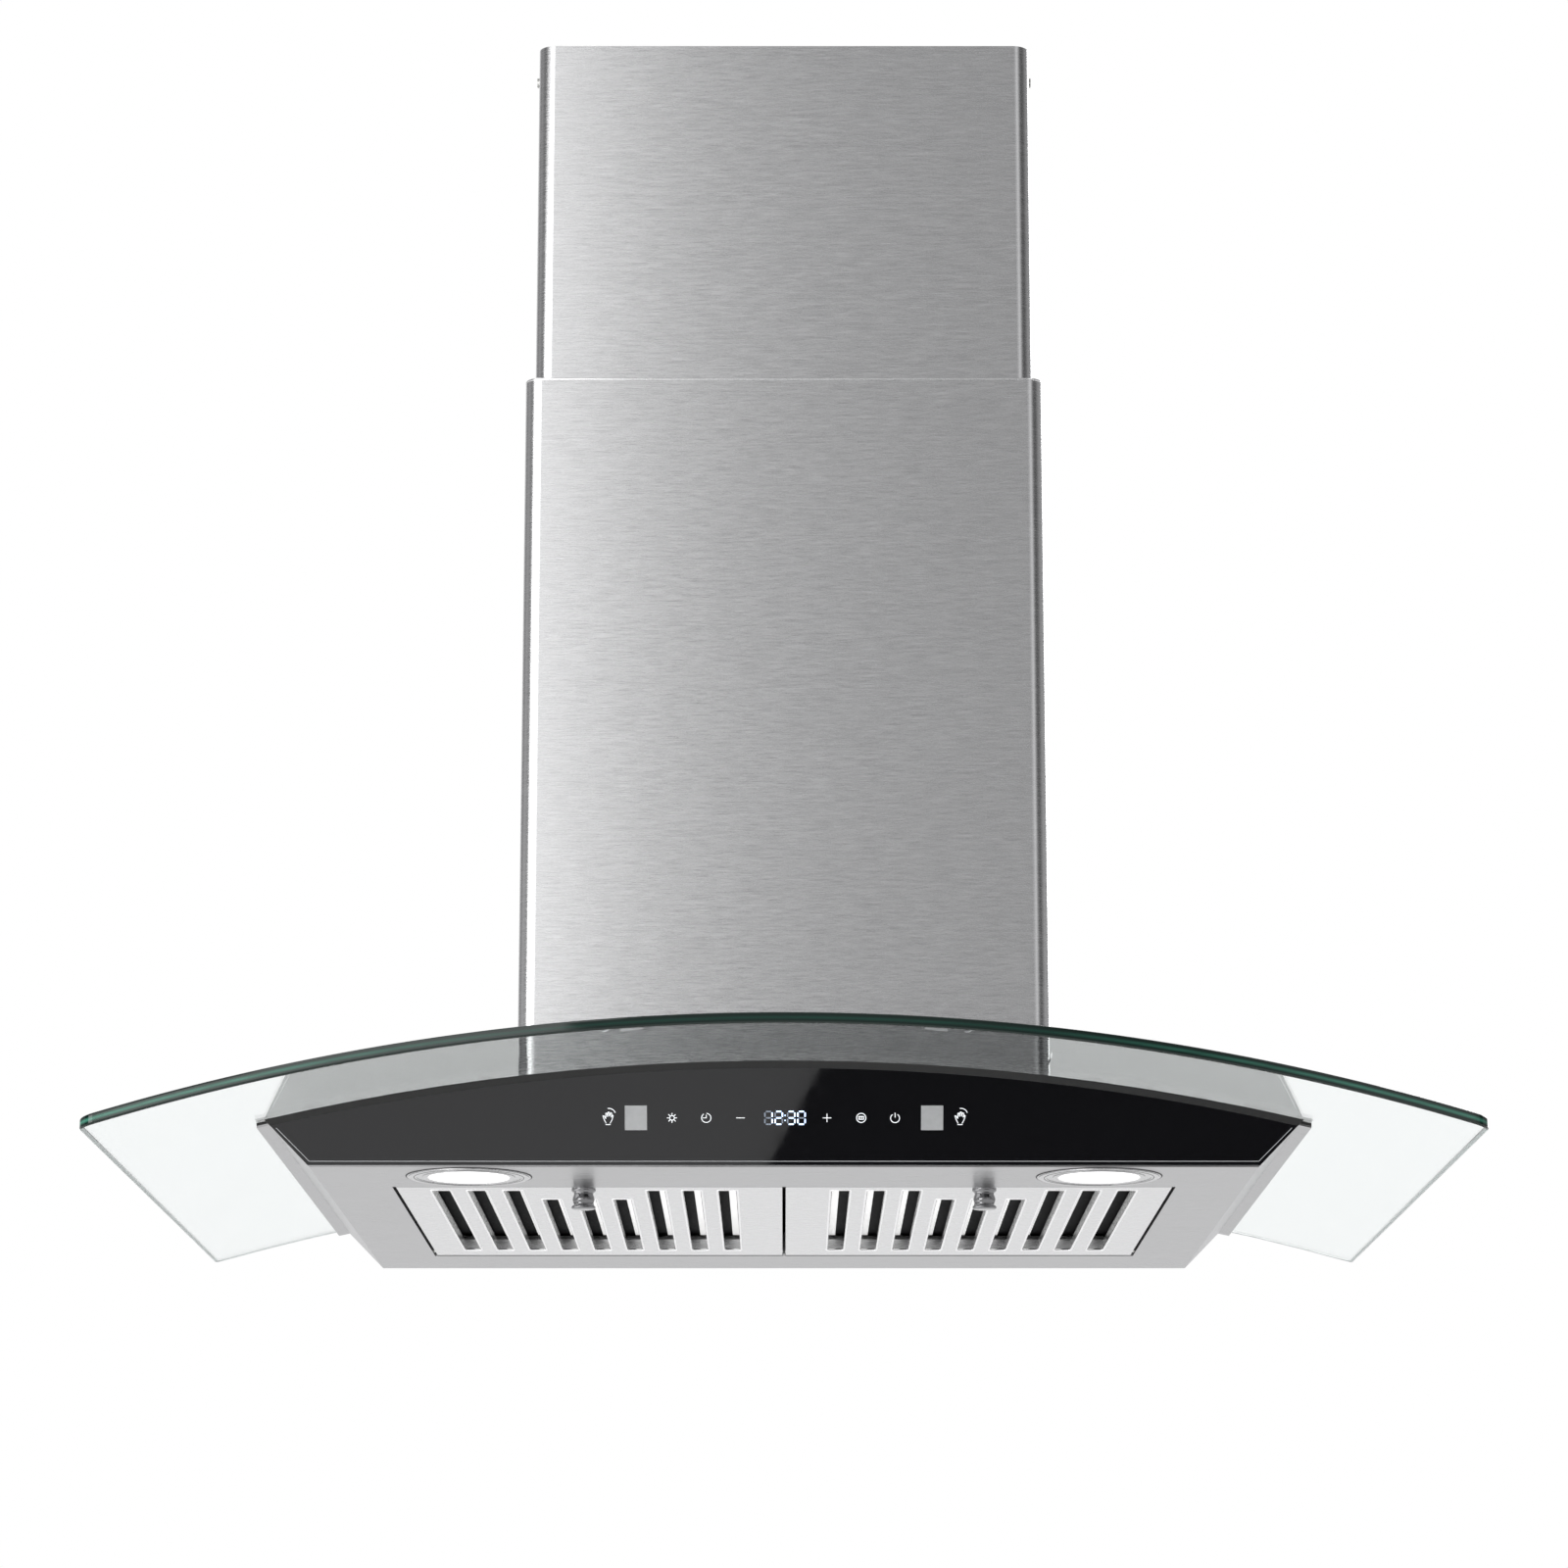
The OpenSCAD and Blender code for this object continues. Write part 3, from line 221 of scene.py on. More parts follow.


# %% [markdown]
# Glass looks clear through its face and green from its edge, because light that enters the edge runs
# a long way through it. A weak green absorption inside the pane tints the face by a trace. The polished
# edge has a colour of its own, near black at both rims. A lighter green line along its middle, measured
# by the distance from the axis of the arch, is a painted highlight; it turns lighter towards the sides
# as a painted reflection.

# %% Glass, black panel glass and things that glow
def clear_glass():
    material, shader, add, link = new_material("clear_glass", (1, 1, 1), 0.0, 0.0)
    shader.inputs["Transmission Weight"].default_value = 1.0
    shader.inputs["IOR"].default_value = 1.45
    place = add("TexCoord").outputs["Object"]
    haze = add("TexNoise", Vector=place, Scale=9.0, Detail=5.0).outputs[0]
    link(spread(add, haze, 0.0, 0.004), shader.inputs["Roughness"])
    absorb = add("VolumeAbsorption", Color=(0.05, 0.68, 0.56, 1), Density=5.0)
    link(absorb.outputs[0], material.node_tree.nodes["Material Output"].inputs["Volume"])
    return material


# The painted highlight takes this share of the thickness, and turns lighter, as a painted reflection,
# between these distances from the middle
HIGHLIGHT_SHARE = 0.24
REFLECTION_FROM, REFLECTION_TO = 0.14, 0.37
RIM_GREEN, HIGHLIGHT_GREEN, REFLECTION_GREEN = (0.001, 0.010, 0.007), (0.006, 0.040, 0.028), (0.06, 0.24, 0.17)


def polished_edge(axis_z, middle_r, thick):
    """Green edge of a pane bent round an axis along Y at height axis_z, with a painted highlight along
    it.
    """
    material, shader, add, link = new_material("polished_edge", (0.01, 0.06, 0.04), 0.0, 0.06)
    place = add("TexCoord").outputs["Object"]
    across = add("SeparateXYZ", Vector=place).outputs
    height = reckon(add, link, "SUBTRACT", across[2], axis_z)
    arm = add("CombineXYZ", X=across[0], Z=height).outputs[0]
    reach = add("VectorMath", ("operation", "LENGTH"), Vector=arm).outputs["Value"]
    away = reckon(add, link, "ABSOLUTE", reckon(add, link, "SUBTRACT", reach, middle_r))
    # Painted highlight: 1 along the middle of the edge's thickness, 0 towards its rims
    line = add("MapRange", Value=away, From_Max=thick * HIGHLIGHT_SHARE, To_Min=1.0, To_Max=0.0)
    side = reckon(add, link, "ABSOLUTE", across[0])
    # Painted reflection: the highlight turns lighter towards the sides of the pane
    along = add("MapRange", Value=side, From_Min=REFLECTION_FROM, From_Max=REFLECTION_TO)
    streak_place = add("Mapping", Vector=place, Scale=(14, 14, 300)).outputs[0]
    streak = add("TexNoise", Vector=streak_place, Scale=1.0, Detail=3.0).outputs[0]
    varied = reckon(add, link, "MULTIPLY", line.outputs[0], spread(add, streak, 0.55, 1.0))
    middle = mixed(add, link, along.outputs[0], HIGHLIGHT_GREEN, REFLECTION_GREEN)
    link(mixed(add, link, varied, RIM_GREEN, middle), shader.inputs["Base Color"])
    link(spread(add, streak, 0.04, 0.12), shader.inputs["Roughness"])
    return material


def black_glass():
    material, shader, add, link = new_material("black_glass", (0.005, 0.005, 0.006), 0.0, 0.03)
    place = add("TexCoord").outputs["Object"]
    dust = add("TexNoise", Vector=place, Scale=140.0, Detail=4.0).outputs[0]
    link(spread(add, dust, 0.012, 0.035), shader.inputs["Roughness"])
    return material


def glowing(name, color, strength):
    material, shader, add, link = new_material(name, color, 0.0, 0.3)
    place = add("TexCoord").outputs["Object"]
    frost = add("TexNoise", Vector=place, Scale=700.0, Detail=2.0).outputs[0]
    link(tinted(add, color, frost, 0.03), shader.inputs["Emission Color"])
    shader.inputs["Emission Strength"].default_value = strength
    return material


# The ink and the strips behind the slots glow faintly, so that both read as white: this is painted
# light
strip_white = glowing("strip_white", (0.88, 0.88, 0.87), 0.45)
print_ink = glowing("print_ink", (0.93, 0.95, 0.97), 0.3)
panel_black = black_glass()
canopy_clear = clear_glass()
opal = glowing("opal_lens", (1.0, 0.995, 0.98), 1.3)
lit_blue = glowing("lit_segment", (0.55, 0.72, 1.0), 1.6)
# Unlit segments glow faintly as well: painted light, as they are not lit
unlit_painted_glow = glowing("unlit_segment", (0.20, 0.23, 0.28), 0.35)

# %% Give every CAD part its finish
FINISHES = {
    "upper_chimney": cover_steel, "lower_chimney": cover_steel,
    "body_tray": body_steel, "top_plate": body_steel,
    "control_panel": panel_black, "display_window": panel_black, "sensor_windows": sensor_glass,
    "glass_canopy": canopy_clear, "glass_seal": rubber, "foot_pads": rubber, "motor_bushes": rubber,
    "touch_board": board_green, "touch_housing": black_plastic, "power_module": black_plastic,
    "outlet_duct": black_plastic, "duct_collar": black_plastic, "cable_gland": black_plastic,
    "flap_seat": black_plastic, "impeller_wheel": inner_black, "scroll_casing": inner_black,
    "lamp_driver": white_plastic, "run_capacitor": white_plastic,
    "left_lamp_ring": turned, "right_lamp_ring": turned,
    "left_lamp_lens": opal, "right_lamp_lens": opal,
    "left_lamp_housing": cast, "right_lamp_housing": cast,
    "front_flap": mill, "rear_flap": mill, "motor": enamel,
    "left_filter_frame": filter_steel, "right_filter_frame": filter_steel,
    "left_filter_baffles": inner_black, "right_filter_baffles": inner_black,
    "left_knob": chrome, "right_knob": chrome,
    "chimney_screws": bright_zinc, "frame_bolts": bright_zinc, "glass_bolts": bright_zinc,
    "glass_nuts": bright_zinc, "collar_screws": bright_zinc, "damper_rod": bright_zinc,
    "motor_shaft": bright_zinc, "filter_rod": bright_zinc,
    "left_latch_spring": bright_zinc, "right_latch_spring": bright_zinc,
}
for name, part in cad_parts.items():
    part.data.materials.clear()
    part.data.materials.append(FINISHES.get(name, zinc))
print("finished", len(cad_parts), "CAD parts")


# %% [markdown]
# ## Making pieces
# Small parts are built from a few primitives that are joined into one mesh. The helpers below keep
# each step the same: add a primitive, put it in place, join, and bake the place into the mesh.

# %% Helpers for making pieces
def select_only(objects):
    bpy.ops.object.select_all(action="DESELECT")
    for one in objects:
        one.select_set(True)
    bpy.context.view_layer.objects.active = objects[0]


def bake_place():
    bpy.ops.object.transform_apply(location=True, rotation=True, scale=True)


def round_off(piece, width, upright=True):
    """Bevels the upright edges, or all of them, which takes the hard corners off a cut strip."""
    bpy.ops.object.mode_set(mode="EDIT")
    bpy.ops.mesh.select_mode(type="EDGE")
    bpy.ops.mesh.select_all(action="DESELECT")
    bpy.ops.object.mode_set(mode="OBJECT")
    points = piece.data.vertices
    for edge in piece.data.edges:
        run = points[edge.vertices[0]].co - points[edge.vertices[1]].co
        edge.select = not upright or run.xy.length < 1e-7
    bpy.ops.object.mode_set(mode="EDIT")
    bpy.ops.mesh.bevel(offset=width, segments=3, affect="EDGES")
    bpy.ops.object.mode_set(mode="OBJECT")


def finish_piece(parts, name, place, material, body, smooth=40, corners=0, upright=True):
    """Joins the parts, bakes their place, and hands one named piece to the frame."""
    bpy.context.view_layer.update()
    select_only(parts)
    if len(parts) > 1:
        bpy.ops.object.join()
    piece = bpy.context.object
    piece.name = piece.data.name = name
    bake_place()
    if corners:
        round_off(piece, corners, upright)
    piece.matrix_world = place
    bake_place()
    bpy.ops.object.mode_set(mode="EDIT")
    bpy.ops.mesh.select_all(action="SELECT")
    bpy.ops.mesh.normals_make_consistent(inside=False)
    bpy.ops.object.mode_set(mode="OBJECT")
    bpy.ops.object.shade_smooth_by_angle(angle=math.radians(smooth))
    piece.data.materials.clear()
    piece.data.materials.append(material)
    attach(piece, body)
    print("made", name, "with", len(piece.data.polygons), "faces")
    return piece


def lathe(profile, sides=64):
    """A turned solid: a disc drawn out along z and widened ring by ring; profile in mm."""
    (first_r, first_z), *rest = profile
    bpy.ops.object.select_all(action="DESELECT")
    bpy.ops.mesh.primitive_circle_add(vertices=sides, radius=first_r * MM, fill_type="NGON",
                                      location=(0, 0, first_z * MM))
    solid = bpy.context.object
    bpy.ops.object.transform_apply(location=True)
    bpy.ops.object.mode_set(mode="EDIT")
    bpy.ops.mesh.select_all(action="SELECT")
    last_r, last_z = first_r, first_z
    for r, z in rest:
        bpy.ops.mesh.extrude_region_move(TRANSFORM_OT_translate={"value": (0, 0, (z - last_z) * MM)})
        bpy.ops.transform.resize(value=(r / last_r, r / last_r, 1), center_override=(0, 0, 0))
        last_r, last_z = r, z
    bpy.ops.object.mode_set(mode="OBJECT")
    return solid


def tube_loop(x0, x1, y0, y1, z, corner, radius, segments=5):
    """A round bar bent into a rectangle with round corners: a plane's outline given a thickness."""
    bpy.ops.object.select_all(action="DESELECT")
    bpy.ops.mesh.primitive_plane_add(size=1, location=((x0 + x1) / 2, (y0 + y1) / 2, z))
    bpy.context.object.scale = (x1 - x0, y1 - y0, 1)
    bake_place()
    bpy.ops.object.mode_set(mode="EDIT")
    bpy.ops.mesh.select_all(action="SELECT")
    bpy.ops.mesh.bevel(offset=corner, segments=segments, affect="VERTICES")
    bpy.ops.mesh.select_all(action="SELECT")
    bpy.ops.mesh.delete(type="ONLY_FACE")
    bpy.ops.object.mode_set(mode="OBJECT")
    bpy.ops.object.convert(target="CURVE")
    loop = bpy.context.object
    loop.data.bevel_depth = radius
    loop.data.bevel_resolution = 3
    bpy.ops.object.convert(target="MESH")
    return bpy.context.object


def block(x0, x1, y0, y1, z0, z1):
    """A box between these limits, in metres."""
    bpy.ops.mesh.primitive_cube_add(size=1, location=((x0 + x1) / 2, (y0 + y1) / 2, (z0 + z1) / 2))
    box = bpy.context.object
    box.scale = (x1 - x0, y1 - y0, z1 - z0)
    return box


def bar(x0, y0, x1, y1, width, thick):
    """A flat bar from one point to another, lying on z = 0; in mm."""
    run = Vector((x1 - x0, y1 - y0))
    bpy.ops.mesh.primitive_cube_add(size=1, rotation=(0, 0, math.atan2(run.y, run.x)),
                                    location=((x0 + x1) / 2 * MM, (y0 + y1) / 2 * MM, thick / 2 * MM))
    strip = bpy.context.object
    strip.scale = (run.length * MM, width * MM, thick * MM)
    return strip


def stroke(points, width, thick):
    """Bars from point to point, a little longer than the gaps so that they meet."""
    bars = []
    for (x0, y0), (x1, y1) in zip(points, points[1:]):
        reach = width / 3 / max(math.hypot(x1 - x0, y1 - y0), 1e-6)
        dx, dy = (x1 - x0) * reach, (y1 - y0) * reach
        bars.append(bar(x0 - dx, y0 - dy, x1 + dx, y1 + dy, width, thick))
    return bars


def arc_points(x, y, r, start, end, steps):
    """Points on an arc, angles in degrees."""
    turns = [math.radians(start + (end - start) * k / steps) for k in range(steps + 1)]
    return [(x + r * math.cos(a), y + r * math.sin(a)) for a in turns]


# %% [markdown]
# ## Glass canopy
# The pane is bent float glass with ground and polished edges. Its shape is right in the frame, so the
# new piece starts as a copy of it: the loose triangles are merged, flat areas are joined, and every
# sharp edge gets the small round that polishing leaves. Only the steps of the bend are smoothed: a
# wider angle would tilt the normals of the big faces towards the rounds and spoil the clear view.

# %% Bend of the pane, read from its own points
PANE = "glass_canopy"
pane_low, pane_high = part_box(PANE)
half_span = pane_high.x
tip_top = max(v.co.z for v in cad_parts[PANE].data.vertices if v.co.x > half_span - 0.1 * MM)
sag = pane_high.z - tip_top
outer_r = (half_span ** 2 + sag ** 2) / (2 * sag)
axis_z = pane_high.z - outer_r
inner_r = math.hypot(half_span, pane_low.z - axis_z)
print("bent to", round(outer_r, 3), "m, glass", round((outer_r - inner_r) / MM, 2), "mm thick")

# %% Canopy pane with polished edges
MERGE_WITHIN, FLAT_WITHIN, SHARP_OVER = 0.02 * MM, math.radians(0.3), math.radians(50)
POLISH_ROUND, SMOOTH_UNDER = 1.1 * MM, 8
# A facet of the edge has a normal whose upright part is below the first; one of the front edge also
# faces forward by more than the second
EDGE_UPRIGHT, FRONT_FORWARD = 0.86, 0.25
pane = bpy.data.objects.new("canopy_pane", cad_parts[PANE].data.copy())
bpy.context.collection.objects.link(pane)
select_only([pane])
bpy.ops.object.mode_set(mode="EDIT")
bpy.ops.mesh.select_all(action="SELECT")
bpy.ops.mesh.remove_doubles(threshold=MERGE_WITHIN)
bpy.ops.mesh.dissolve_limited(angle_limit=FLAT_WITHIN)
bpy.ops.mesh.select_all(action="DESELECT")
bpy.ops.mesh.select_mode(type="EDGE")
bpy.ops.mesh.edges_select_sharp(sharpness=SHARP_OVER)
bpy.ops.mesh.bevel(offset=POLISH_ROUND, segments=3, affect="EDGES")
bpy.ops.object.mode_set(mode="OBJECT")
finish_piece([pane], "canopy_pane", Matrix.Identity(4), canopy_clear, "hood",
             smooth=SMOOTH_UNDER)
pane.data.materials.append(polished_edge(axis_z, (outer_r + inner_r) / 2, outer_r - inner_r))
pane.data.materials.append(ground_edge)
for facet in pane.data.polygons:
    if abs(facet.normal.z) < EDGE_UPRIGHT:
        facet.material_index = 1 if -facet.normal.y > FRONT_FORWARD else 2
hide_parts(PANE)
print("edge faces:", sum(f.material_index > 0 for f in pane.data.polygons))

# %% [markdown]
# ## Touch panel
# The symbols are printed on the back of the black glass, so they are drawn as thin strips that lie
# almost flush. The row's own frame has its origin in the middle of the clock window, x along the
# row, y up the slope and z straight out of the glass.

# %% The row's frame
face = max((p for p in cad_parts["control_panel"].data.polygons if p.normal.y < -0.5),
           key=lambda p: p.area)
outward = face.normal.normalized()
across = Vector((1, 0, 0))
up_slope = outward.cross(across)
window_low, window_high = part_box("display_window")
window_middle = (window_low + window_high) / 2
window_middle += outward * (face.center - window_middle).dot(outward)
row = Matrix.Identity(4)
row.col[0].xyz, row.col[1].xyz, row.col[2].xyz = across, up_slope, outward
row.col[3].xyz = window_middle
print("the panel leans", round(math.degrees(math.asin(-outward.z)), 1), "degrees")

# %% Symbols: lamp, clock, minus, plus, menu and power
PRINT_T = 0.05
LINE = 0.44


def symbol_strokes():
    lines = []
    lines += [arc_points(-62.2, 0, 1.3, 0, 360, 16)]
    lines += [arc_points(-62.2, 0, 1.3, a, a + 1, 1)[:1] + arc_points(-62.2, 0, 2.7, a, a + 1, 1)[:1]
              for a in range(0, 360, 45)]
    lines += [arc_points(-43.2, 0, 2.6, 125, 445, 22), [(-43.2, 1.7), (-43.2, 0), (-45.0, 0)]]
    lines += [[(-26.5, 0), (-21.9, 0)], [(21.6, 0), (26.2, 0)], [(23.9, -2.3), (23.9, 2.3)]]
    lines += [arc_points(42.9, 0, 2.6, 0, 360, 24),
              [(41.5, -0.8), (44.3, -0.8), (44.3, 0.8), (41.5, 0.8), (41.5, -0.8)],
              [(42.4, -0.3), (42.4, 0.4)], [(43.4, -0.3), (43.4, 0.4)]]
    lines += [arc_points(61.7, -0.2, 2.5, 125, 415, 22), [(61.7, 0.3), (61.7, 2.8)]]
    return lines


def hand_strokes(side):
    """A waving hand: palm, four fingers and a thumb in one line, a cuff, and the sweep above it."""
    outline = [(-1.1, -3.0), (-2.3, -0.6), (-2.8, 1.2), (-2.0, 1.0), (-1.3, -0.4), (-1.2, 2.6),
               (-0.5, 2.7), (-0.3, 0.8), (0.1, 3.3), (0.8, 3.2), (0.8, 1.0), (1.5, 2.9), (2.1, 2.6),
               (1.8, 0.4), (2.5, 1.6), (2.9, 1.1), (2.2, -1.2), (1.2, -3.0)]
    sweep = arc_points(0.6, 1.8, 3.6, 20, 100, 6)
    cuff = [(-1.3, -3.8), (1.3, -3.8)]
    return [[(side * (97.8 + side * x), y) for x, y in line] for line in (outline, sweep, cuff)]


strips = []
for line in symbol_strokes() + hand_strokes(-1) + hand_strokes(1):
    strips += stroke(line, LINE, PRINT_T)
finish_piece(strips, "touch_symbols", row, print_ink, "hood",
             corners=LINE * 0.42 * MM)

# %% Clock digits: seven segments each, lit or unlit
DIGIT_W, DIGIT_H, SEGMENT, SEGMENT_GAP = 4.0, 7.2, 0.85, 0.55
DOT_LEFT, DOT_RIGHT, DOT_TALL, DOT_UP = 0.25, 0.95, 0.8, 1.4
LIT = {"1": "bc", "2": "abged", "3": "abgcd", "0": "abcdef"}
ENDS = {"a": (0, 1, 1, 1), "b": (1, 1, 1, 0.5), "c": (1, 0.5, 1, 0), "d": (0, 0, 1, 0),
        "e": (0, 0, 0, 0.5), "f": (0, 0.5, 0, 1), "g": (0, 0.5, 1, 0.5)}
lit, unlit = [], []
for digit, middle in zip("1230", (-8.6, -2.9, 4.0, 9.7)):
    for segment, (x0, y0, x1, y1) in ENDS.items():
        run = Vector(((x1 - x0) * DIGIT_W, (y1 - y0) * DIGIT_H))
        trim = run.normalized() * SEGMENT_GAP
        start = Vector((middle + (x0 - 0.5) * DIGIT_W, (y0 - 0.5) * DIGIT_H)) + trim
        end = Vector((middle + (x1 - 0.5) * DIGIT_W, (y1 - 0.5) * DIGIT_H)) - trim
        group = lit if segment in LIT[digit] else unlit
        group.append(bar(*start, *end, SEGMENT, PRINT_T))
for y in (-DOT_UP, DOT_UP):
    lit.append(bar(DOT_LEFT, y, DOT_RIGHT, y, DOT_TALL, PRINT_T))
SEGMENT_END = SEGMENT * 0.3 * MM
finish_piece(lit, "clock_digits", row, lit_blue, "hood", corners=SEGMENT_END)
finish_piece(unlit, "unlit_segments", row, unlit_painted_glow, "hood",
             corners=SEGMENT_END)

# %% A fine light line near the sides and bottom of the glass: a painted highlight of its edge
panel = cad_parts["control_panel"].data
on_face = [row.inverted() @ v.co for v in panel.vertices]
on_face = [v / MM for v in on_face if abs(v.z) < 0.1 * MM]
bottom = min(v.y for v in on_face)
low_x = max(v.x for v in on_face if v.y < bottom + 0.2)
high = max(on_face, key=lambda v: v.x)
INSET, TRIM_LINE = 2.2, 0.35
side_line = [(high.x - INSET * 1.5, high.y - 1.2), (low_x - INSET * 0.45, bottom + INSET)]
frame_line = side_line + [(-x, y) for x, y in reversed(side_line)]
finish_piece(stroke(frame_line, TRIM_LINE, PRINT_T), "panel_line", row, faint_ink, "hood",
             corners=TRIM_LINE * 0.3 * MM)

# %% [markdown]
# ## Pull knobs
# Each knob is turned from bar: a flange against the plate, a neck, a swelling that fingers can grip,
# and a rolled end. Turning is the natural way to make it, and drawing a disc out ring by ring is the
# same idea in the modeller.

# %% Knobs
KNOB = [(7.25, 0.0), (7.25, 0.9), (6.9, 1.3), (5.9, 1.9), (5.7, 2.8), (6.3, 4.2), (6.6, 5.4),
        (6.3, 6.8), (5.8, 8.0), (5.9, 8.7), (6.9, 9.2), (7.2, 9.7), (7.1, 10.4), (6.5, 10.8)]
for side in ("left", "right"):
    low, high_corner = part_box(side + "_knob")
    length = UNDERSIDE - low.z
    middle = (low + high_corner) / 2
    reach = length / (KNOB[-1][1] * MM)
    wide = (high_corner.x - low.x) / 2 / (max(r for r, z in KNOB) * MM)
    turned_knob = lathe([(r * wide, z * reach) for r, z in KNOB])
    place = Matrix.Translation((middle.x, middle.y, UNDERSIDE)) @ Matrix.Rotation(math.pi, 4, "X")
    piece = finish_piece([turned_knob], side + "_pull_knob", place, chrome, side + "_catch",
                         smooth=60)
    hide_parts(side + "_knob")

# %% [markdown]
# ## Latch springs
# A coil spring behind each latch pushes it shut. It could be drawn as a helix curve, but a wire's round
# section carried round an axis by the Screw modifier gives the same coil with even rings. It stands on
# the filter.

# %% Coil springs
TURNS, WIRE, WIRE_SIDES, STEPS_ROUND = 8, 0.45, 10, 24
for side in ("left", "right"):
    spring = side + "_latch_spring"
    low, high_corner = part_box(spring)
    free_length = high_corner.y - low.y
    coil_r = (high_corner.x - low.x) / 2 - WIRE * MM
    bpy.ops.object.select_all(action="DESELECT")
    bpy.ops.mesh.primitive_circle_add(vertices=WIRE_SIDES, radius=WIRE * MM,
                                      rotation=(math.pi / 2, 0, 0), location=(coil_r, 0, WIRE * MM))
    coil = bpy.context.object
    bake_place()
    turn = coil.modifiers.new("turn", "SCREW")
    turn.steps = turn.render_steps = STEPS_ROUND
    turn.iterations = TURNS
    turn.screw_offset = (free_length - 2 * WIRE * MM) / TURNS
    bpy.ops.object.modifier_apply(modifier="turn")
    bpy.ops.object.mode_set(mode="EDIT")
    bpy.ops.mesh.select_all(action="SELECT")
    bpy.ops.mesh.fill_holes(sides=0)
    bpy.ops.object.mode_set(mode="OBJECT")
    middle = (low + high_corner) / 2
    place = (Matrix.Translation((middle.x, low.y, middle.z))
             @ Matrix.Rotation(-math.pi / 2, 4, "X"))
    piece = finish_piece([coil], side + "_coil_spring", place, bright_zinc, side + "_filter")
    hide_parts(spring)
    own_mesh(piece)

# %% [markdown]
# ## Lamps
# The opal lens of each lamp is moulded with three fine steps, which show as rings round the light.

# %% Stepped lenses
STEPS = [(1.0, 0.0), (1.0, 0.35), (0.93, 0.35), (0.93, 0.6), (0.86, 0.6), (0.86, 0.8), (0.8, 0.95)]
for side in ("left", "right"):
    low, high_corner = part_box(side + "_lamp_lens")
    radius = (high_corner.x - low.x) / 2 / MM
    depth = (high_corner.z - low.z) / MM
    lens = lathe([(radius * r, depth * z) for r, z in STEPS], sides=96)
    place = Matrix.Translation(((low.x + high_corner.x) / 2, (low.y + high_corner.y) / 2,
                                high_corner.z)) @ Matrix.Rotation(math.pi, 4, "X")
    piece = finish_piece([lens], side + "_opal_lens", place, opal, "hood")
    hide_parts(side + "_lamp_lens")


# %% [markdown]
# Each trim ring sits in its hole with a gap round it, and carries one fine turned groove. A thin black
# ring in each is painted shade where the gap and the groove fall dark; both are thin rings, so a
# flattened torus gives them at once.

# %% Painted shade in the gap round each trim ring and in the fine turned groove on it
GROOVE_SHADE, GAP_SHADE = 0.22, 0.6
GAP_SHADE_OUT, GROOVE_IN, FLATTENED = 0.2, 4, 0.6
for side in ("left", "right"):
    low, high_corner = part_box(side + "_lamp_ring")
    middle = (low + high_corner) / 2
    ring_r = (high_corner.x - low.x) / 2
    for name, radius, tube, z, finish in (
            ("_lamp_gap_shade", ring_r + GAP_SHADE_OUT * MM, GAP_SHADE, UNDERSIDE, rubber),
            ("_lamp_groove_shade", ring_r - GROOVE_IN * MM, GROOVE_SHADE, low.z, black_plastic)):
        bpy.ops.object.select_all(action="DESELECT")
        bpy.ops.mesh.primitive_torus_add(major_radius=radius, minor_radius=tube * MM,
                                         major_segments=96, minor_segments=8)
        bpy.context.object.scale.z = FLATTENED
        place = Matrix.Translation((middle.x, middle.y, z))
        finish_piece([bpy.context.object], side + name, place, finish, "hood")

# %% [markdown]
# ## Chimney hem
# The upper edge of the lower cover is folded back on itself, which makes it safe and straight. Seen
# from below, the fold is a thin bright line; its steel is lighter than the cover's, a painted
# highlight.

# %% Folded hem
HEM, HEM_INSET, HEM_CORNER = 0.7, 0.4, 10
low, high_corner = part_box("lower_chimney")
inset = HEM_INSET * MM
hem = tube_loop(low.x + inset, high_corner.x - inset, low.y + inset, high_corner.y - inset,
                high_corner.z - HEM * MM, HEM_CORNER * MM, HEM * MM, segments=10)
finish_piece([hem], "cover_hem", Matrix.Identity(4), rim_steel, "hood")

# %% [markdown]
# ## Filters
# The edge of every slot is rolled, which stiffens the sheet and leaves no sharp burr; the rolls are of
# lighter steel than the sheet, a painted highlight. Behind the slots a second layer of strips catches
# the grease; their faint glow is painted light. Both are set out from the slots of the CAD filter,
# which are read off its lower face.

# %% Find the slots in a filter's lower face
SLOT_OVER = 0.12


def slots_of(node):
    """Limits x0, x1, y0, y1 of the slots, from the long walls that stand on the lower face."""
    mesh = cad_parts[node].data
    at = [tuple(round(c, 5) for c in v.co) for v in mesh.vertices]
    level = round(UNDERSIDE, 5)
    sides = set()
    for polygon in mesh.polygons:
        if abs(polygon.normal.x) > 0.9:
            foot = [at[k] for k in polygon.vertices if abs(at[k][2] - level) < 1e-4]
            if len(foot) == 2 and abs(foot[0][1] - foot[1][1]) > SLOT_OVER:
                sides.add((foot[0][0], min(foot[0][1], foot[1][1]), max(foot[0][1], foot[1][1])))
    sides = sorted(sides)[1:-1]
    return [(a[0], b[0], a[1], a[2]) for a, b in zip(sides[::2], sides[1::2])]


